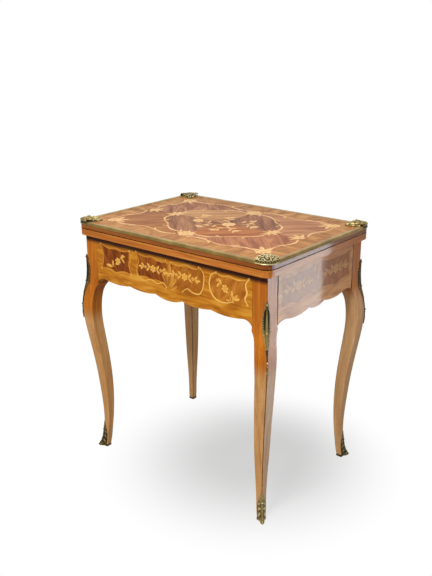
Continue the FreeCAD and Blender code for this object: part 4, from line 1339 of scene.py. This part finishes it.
def kneeRelief(across, share):
    # height over the leg and wear; across from -1 to 1, share from the tail to the crest
    look = kneeLook
    inside = abs(across)
    rib = ridgeAt(inside, 0, look["ribHalf"])
    vein = wave(share * look["feathers"] - inside * look["veinSlant"])
    edge = ridgeAt(inside, look["rimAt"], look["rimHalf"])
    if share > look["frameHead"]:
        return 1.4 + 2.6 * (1 - inside) + 0.8 * vein, 0.1 + 0.5 * vein * (0.3 + inside)
    if share > look["leafFoot"]:
        # a leaf that rises to a point inside a beaded rim, with dark slots between them higher up
        framed = eased(((look["frameFoot"] - 0.05, 0.0), (look["frameFoot"] + 0.05, 1.0)), share)
        along = max(0.0, (share - look["frameFoot"]) / (look["frameHead"] - look["frameFoot"]))
        beading = wave(share * look["beads"])
        breadth = 0.62 * (1.02 - 0.8 * along) * framed + 1.3 * (1 - framed)
        body = max(0.0, 1 - (inside / breadth) ** 2)
        rim = look["rimHeight"] * edge * framed * (0.75 + 0.25 * beading)
        level = 0.6 + rim + look["leafHeight"] * math.sqrt(body) * (0.85 + 0.15 * vein)
        rimWear = edge * (0.2 + 0.6 * beading * framed + 0.25 * (1 - framed))
        return level, 0.02 + rimWear + body * (0.26 + 0.2 * vein + 0.2 * rib)
    bloom = ridgeAt(share, look["bloomAt"], look["bloomHalf"])
    level = 1.2 + 2.0 * (1 - inside) + 1.0 * bloom
    return level, 0.12 + 0.3 * rib + 0.5 * bloom * (0.3 + inside)


def kneeSpot(height, proud=0.0):
    # a point on the middle of the knee mount, or a little proud of it
    share = (height - kneeLook["low"]) / (kneeLook["high"] - kneeLook["low"])
    return legSkin(0, height) + diagonal * (kneeRelief(0, share)[0] + proud) * mm


def kneeMaster():
    look = kneeLook

    def place(u, v):
        half = eased(look["outline"], v)
        ruffle = look["ruffle"] * (v < look["frameFoot"])
        feather = 1 + ruffle * math.cos(2 * math.pi * v * look["feathers"])
        across = 2 * u - 1
        level, worn = kneeRelief(across, v)
        skin = legSkin(across * half * feather, look["low"] + (look["high"] - look["low"]) * v)
        return skin + diagonal * level * mm, worn

    parts = [castSheet(look, place)]
    for height, radius in look["drops"]:
        parts.append(bead(radius, kneeSpot(height, look["dropProud"]), diagonal))
    return joined(parts, "kneeMaster")


corneredCopies(kneeMaster(), "knee_mount", "frame")
print("knee mounts cast")

# a low cup under the foot and a leaf wrapped round the front of it, which swells into the toe
shoeLook = {"height": 8, "leafLow": 1, "leafHigh": 88, "half": 8.75, "corner": 3.0, "footIn": 15,
            "footLow": 6, "wall": 1.2, "grid": (40, 110), "cupGrid": (64, 20), "square": 1.6,
            "ribHalf": 0.16, "lobes": 5.5, "lobeSlant": 1.1, "curlAt": 0.66, "curlHalf": 0.24, "pit": 0.45,
            "toe": ((0.06, 1.0), (0.2, 0.0)), "smooth": ((0.6, 0.0), (0.78, 1.0)),
            "profile": ((0, 1.0), (0.1, 1.5), (0.4, 1.3), (0.7, 1.0), (0.9, 1.3), (1, 0.6)),
            "outline": ((0, 7.6), (0.06, 9.0), (0.14, 11.2), (0.3, 11.8), (0.46, 11.6), (0.56, 10.6),
                        (0.66, 8.8), (0.78, 6.4), (0.9, 4.0), (1.0, 0.8)),
            "standing": ((0, 14.5), (0.04, 17.0), (0.12, 13.0), (0.24, 8.0), (0.42, 4.8), (0.7, 3.2),
                         (1.0, 1.0)),
            "drops": ((38, 4.6, 1.9), (38, -4.6, 1.9), (58, 0, 2.2))}
footInset = (shoeLook["footIn"] / math.sqrt(2) + shoeLook["half"]) * mm
footCentre = Vector((rightFace - footInset, frontFace + footInset, 0))


def shoeRelief(across, share):
    # height of the leaf over the foot and wear: lobes that curl off a rib, with dark pits between them
    look = shoeLook
    inside = abs(across)
    rib = ridgeAt(inside, 0, look["ribHalf"])
    lobe = wave(share * look["lobes"] + inside * look["lobeSlant"])
    curl = ridgeAt(inside, look["curlAt"], look["curlHalf"]) * lobe
    fall = max(0.0, 1 - inside ** 4)
    toe = eased(look["toe"], share)
    smooth = eased(look["smooth"], share)
    full = max(rib, curl, toe)
    level = 0.4 + eased(look["standing"], share) * fall * (1 - look["pit"] * (1 - full))
    lobed = 0.24 + 0.3 * rib + 0.55 * curl
    return level, lobed + (0.5 - lobed) * max(smooth, 0.6 * toe)


def shoeMaster():
    look = shoeLook
    tall = look["leafHigh"] - look["leafLow"]

    def cup(u, v):
        swell = eased(look["profile"], v)
        turn = 2 * math.pi * u
        reach = look["half"] + swell
        flat = reach - look["corner"]

        def side(way):
            # a circle pressed out to a square with round corners
            return min(max(way * reach * look["square"], -flat), flat) + look["corner"] * way

        spot = Vector((side(math.cos(turn)), side(math.sin(turn)), look["height"] * v))
        return footCentre + spot * mm, 0.1 + 0.45 * (swell - 0.6)

    def leafPlace(u, v):
        across = 2 * u - 1
        level, worn = shoeRelief(across, v)
        height = look["leafLow"] + tall * v
        skin = legSkin(across * eased(look["outline"], v), max(height, look["footLow"]))
        skin.z = height * mm
        return skin + diagonal * level * mm, worn

    base = gridPiece(look["cupGrid"], cup, castMetal, "worn")
    tidyMesh(base, fill=True)
    parts = [base, castSheet(look, leafPlace)]
    for height, across, radius in look["drops"]:
        share = (height - look["leafLow"]) / tall
        level = shoeRelief(across / eased(look["outline"], share), share)[0]
        parts.append(bead(radius, legSkin(across, height) + diagonal * level * mm, diagonal))
    return joined(parts, "shoeMaster")


corneredCopies(shoeMaster(), "shoe", "frame")
print("shoes cast")

# round pin heads that follow the new castings: heights on the knees, places along and inwards on the corners
pinLook = {"radius": 1.5, "flat": 0.6, "kneeHeights": (632, 560), "cornerShares": (0.22, 0.78),
           "cornerIn": 0.55}


def pinHeads(name, places, node, body):
    heads = []
    for sideX, sideY in corners.values():
        mirror = Matrix.Diagonal((sideX, sideY, 1))
        for point, outward in places:
            heads.append(bead(pinLook["radius"], mirror @ point, mirror @ outward, pinLook["flat"]))
    piece = joined(heads, name)
    choose(piece)
    bpy.ops.object.shade_smooth()
    register(piece, body, "cast_brass", node)


kneePins = [(kneeSpot(height), diagonal) for height in pinLook["kneeHeights"]]
topPins = [(cornerSpot(share, pinLook["cornerIn"]), upward) for share in pinLook["cornerShares"]]
pinHeads("pins_knee", kneePins, "knee_pins", "frame")
pinHeads("pins_corner", topPins, "mount_pins_top", "upper_leaf")
print("pins driven")


# baize, cut flat and glued into its recesses; thick is a share of the depth of the CAD cloth
clothLook = {"columns": 12, "rows": 16, "postNotch": 26 * mm, "thick": 0.9}


def cutNotches(piece, low, high, notch):
    # takes the two left corners out of a cloth, where the posts stand
    bpy.context.tool_settings.mesh_select_mode = (False, False, True)
    editAll(piece)
    bpy.ops.mesh.select_all(action="DESELECT")
    endEdit()
    for face in piece.data.polygons:
        nearEnd = min(face.center.y - low[1], high[1] - face.center.y) < notch
        face.select = nearEnd and face.center.x - low[0] < notch
    bpy.ops.object.mode_set(mode="EDIT")
    bpy.ops.mesh.delete(type="FACE")
    endEdit()
    bpy.context.tool_settings.mesh_select_mode = (True, False, False)


def baizeSheet(name, node, body, notch=0.0):
    low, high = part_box(node)
    wide = high[0] - low[0]
    deep = high[1] - low[1]
    columns = clothLook["columns"]
    rows = clothLook["rows"]
    edge = notch or wide / columns

    def place(u, v):
        # the outer strips are as wide as a notch, the rest is spaced evenly
        column = u * columns
        row = v * rows
        x = edge * min(column, 1) + (wide - edge) * max(0, column - 1) / (columns - 1)
        inner = min(max(row - 1, 0), rows - 2)
        y = edge * min(row, 1) + (deep - 2 * edge) * inner / (rows - 2) + edge * max(0, row - rows + 1)
        return Vector((low[0] + x, low[1] + y, (low[2] + high[2]) / 2)), None

    piece = gridPiece((columns, rows), place, baizeGreen)
    piece.name = name
    if notch:
        cutNotches(piece, low, high, notch)
    applyModifier(piece, "SOLIDIFY", thickness=(high[2] - low[2]) * clothLook["thick"], offset=0.0)
    register(piece, body, "baize", node)


baizeSheet("baize_lower", "lower_baize", "lower_leaf")
baizeSheet("baize_upper", "upper_baize", "upper_leaf")
baizeSheet("baize_well", "well_baize", "frame", clothLook["postNotch"])
print("baize laid in")


# floor, light and camera

# the floor's white share grows with distance from a middle under the table, from a pale share to all of it: a
# painted shadow
stageLook = {"floorSize": 24.0, "middle": (0.1, 0.02, 0), "paintedShadowReach": 0.08, "whiteReach": 0.5,
             "floorTone": 0.36, "paleShare": 0.46}


def seenRay(tree):
    # 1 where the stage is looked at, straight, in gloss or through glass
    rays = addNode(tree, "ShaderNodeLightPath", {}).outputs
    seen = sums("MAXIMUM", rays["Is Camera Ray"], rays["Is Glossy Ray"])
    return sums("MAXIMUM", seen, rays["Is Transmission Ray"])


def studioFloor():
    # a painted shadow round the middle: matt with only a pale share of white there, where the real shadow
    # also falls, and plain white further out
    look = stageLook
    clearSelection()
    bpy.ops.mesh.primitive_plane_add(size=look["floorSize"])
    floor = bpy.context.object
    floor.name = "floor"
    material = startMaterial("paleFloor")
    tree = material.node_tree
    tree.nodes.remove(tree.nodes["Principled BSDF"])
    centred = {"Vector": objectPlace(material), "Location": look["middle"]}
    distance = vectorLength(grow("ShaderNodeMapping", centred, vector_type="TEXTURE").outputs[0])
    far = smoothly(distance, look["paintedShadowReach"], look["whiteReach"], look["paleShare"])
    matt = addNode(tree, "ShaderNodeBsdfDiffuse", {"Color": grey(look["floorTone"])}).outputs[0]
    white = addNode(tree, "ShaderNodeEmission", {"Color": grey(1.0), "Strength": 1.0}).outputs[0]
    share = sums("MULTIPLY", far, seenRay(tree))
    mixed = grow("ShaderNodeMixShader", {0: share, 1: matt, 2: white}).outputs[0]
    feed(tree.nodes["Material Output"].inputs["Surface"], mixed)
    floor.data.materials.append(material)


worldLook = {"light": 0.45, "seen": 1.0}


def studioWorld():
    world = bpy.data.worlds.new("studio")
    bpy.context.scene.world = world
    world.use_nodes = True
    levels = {0: seenRay(world.node_tree), 3: worldLook["light"], 4: worldLook["seen"]}
    level = grow("ShaderNodeMapRange", levels).outputs[0]
    background = world.node_tree.nodes["Background"]
    feed(background.inputs["Color"], grey(1.0))
    feed(background.inputs["Strength"], level)


lampLook = {"at": (0.45, -1.9, 2.65), "aim": (0, 0, 0.4), "size": 0.9, "power": 78}


def studioLamp():
    bpy.ops.object.light_add(type="AREA", location=lampLook["at"])
    lamp = bpy.context.object
    lamp.name = "softLamp"
    lamp.data.size = lampLook["size"]
    lamp.data.energy = lampLook["power"]
    way = Vector(lampLook["aim"]) - Vector(lampLook["at"])
    lamp.rotation_euler = way.to_track_quat("-Z", "Y").to_euler()


# a card that slopes up from the floor to the right, dim at its near end, seen only as the pale gloss on that
# side's varnish; levels are its brightness at places along it
cardLook = {"corner": (0.27, -0.08, 0.004), "along": (0.516, 0.857), "slope": math.radians(32), "length": 3.6,
            "width": 1.0, "brightness": 65, "colour": (0.86, 0.95, 1.0),
            "places": (0.03, 0.08, 0.14, 0.21), "levels": (0.13, 0.32, 0.46, 1.0),
            "woods": ("leg_front_right", "leg_back_right", "apron_right", "lower_leaf", "upper_leaf")}


def glossCard():
    look = cardLook
    ahead = Vector((look["along"][0], look["along"][1], 0))
    outward = Vector((ahead.y, -ahead.x, 0))
    along = ahead * math.cos(look["slope"]) + upward * math.sin(look["slope"])
    bpy.ops.object.light_add(type="AREA")
    card = bpy.context.object
    card.name = "glossCard"
    lamp = card.data
    lamp.shape = "RECTANGLE"
    lamp.size = look["length"]
    lamp.size_y = look["width"]
    lamp.energy = look["brightness"] * look["length"] * look["width"]
    lamp.color = look["colour"]
    lamp.use_nodes = True
    spot = addNode(lamp.node_tree, "ShaderNodeNewGeometry", {}).outputs["Parametric"]
    share = grow("ShaderNodeSeparateXYZ", {0: spot}).outputs[0]
    graded = ramp(share, look["places"], [grey(level) for level in look["levels"]])
    feed(lamp.node_tree.nodes["Emission"].inputs["Strength"], graded)
    middle = Vector(look["corner"]) + along * look["length"] / 2 + outward * look["width"] / 2
    turn = Matrix((along, outward, along.cross(outward))).transposed().to_4x4()
    card.matrix_world = Matrix.Translation(middle) @ turn
    card.visible_camera = False
    card.visible_diffuse = False
    card.visible_transmission = False
    woods = bpy.data.collections.new("varnishedWoods")
    for name in look["woods"]:
        woods.objects.link(nodes[name])
    woods.objects.link(bpy.data.objects["marquetry_right"])
    card.light_linking.receiver_collection = woods


viewLook = {"eye": (1.31446, -1.61486, 1.26491), "azimuth": 39.63, "down": 18.94, "roll": -0.25,
            "lens": 46.18, "film": 36.0}


def photoCamera():
    azimuth = math.radians(viewLook["azimuth"])
    down = math.radians(viewLook["down"])
    roll = math.radians(viewLook["roll"])
    back = Vector((math.sin(azimuth) * math.cos(down), -math.cos(azimuth) * math.cos(down), math.sin(down)))
    right = Vector((math.cos(azimuth), math.sin(azimuth), 0))
    up = back.cross(right)
    rolledRight = right * math.cos(roll) + up * math.sin(roll)
    rolledUp = up * math.cos(roll) - right * math.sin(roll)
    turn = Matrix((rolledRight, rolledUp, back)).transposed().to_4x4()
    bpy.ops.object.camera_add()
    camera = bpy.context.object
    camera.matrix_world = Matrix.Translation(viewLook["eye"]) @ turn
    camera.data.sensor_fit = "VERTICAL"
    camera.data.sensor_height = viewLook["film"]
    camera.data.lens = viewLook["lens"]
    bpy.context.scene.camera = camera


studioFloor()
studioWorld()
studioLamp()
glossCard()
photoCamera()
bpy.context.scene.view_settings.view_transform = "Standard"
print("stage set")
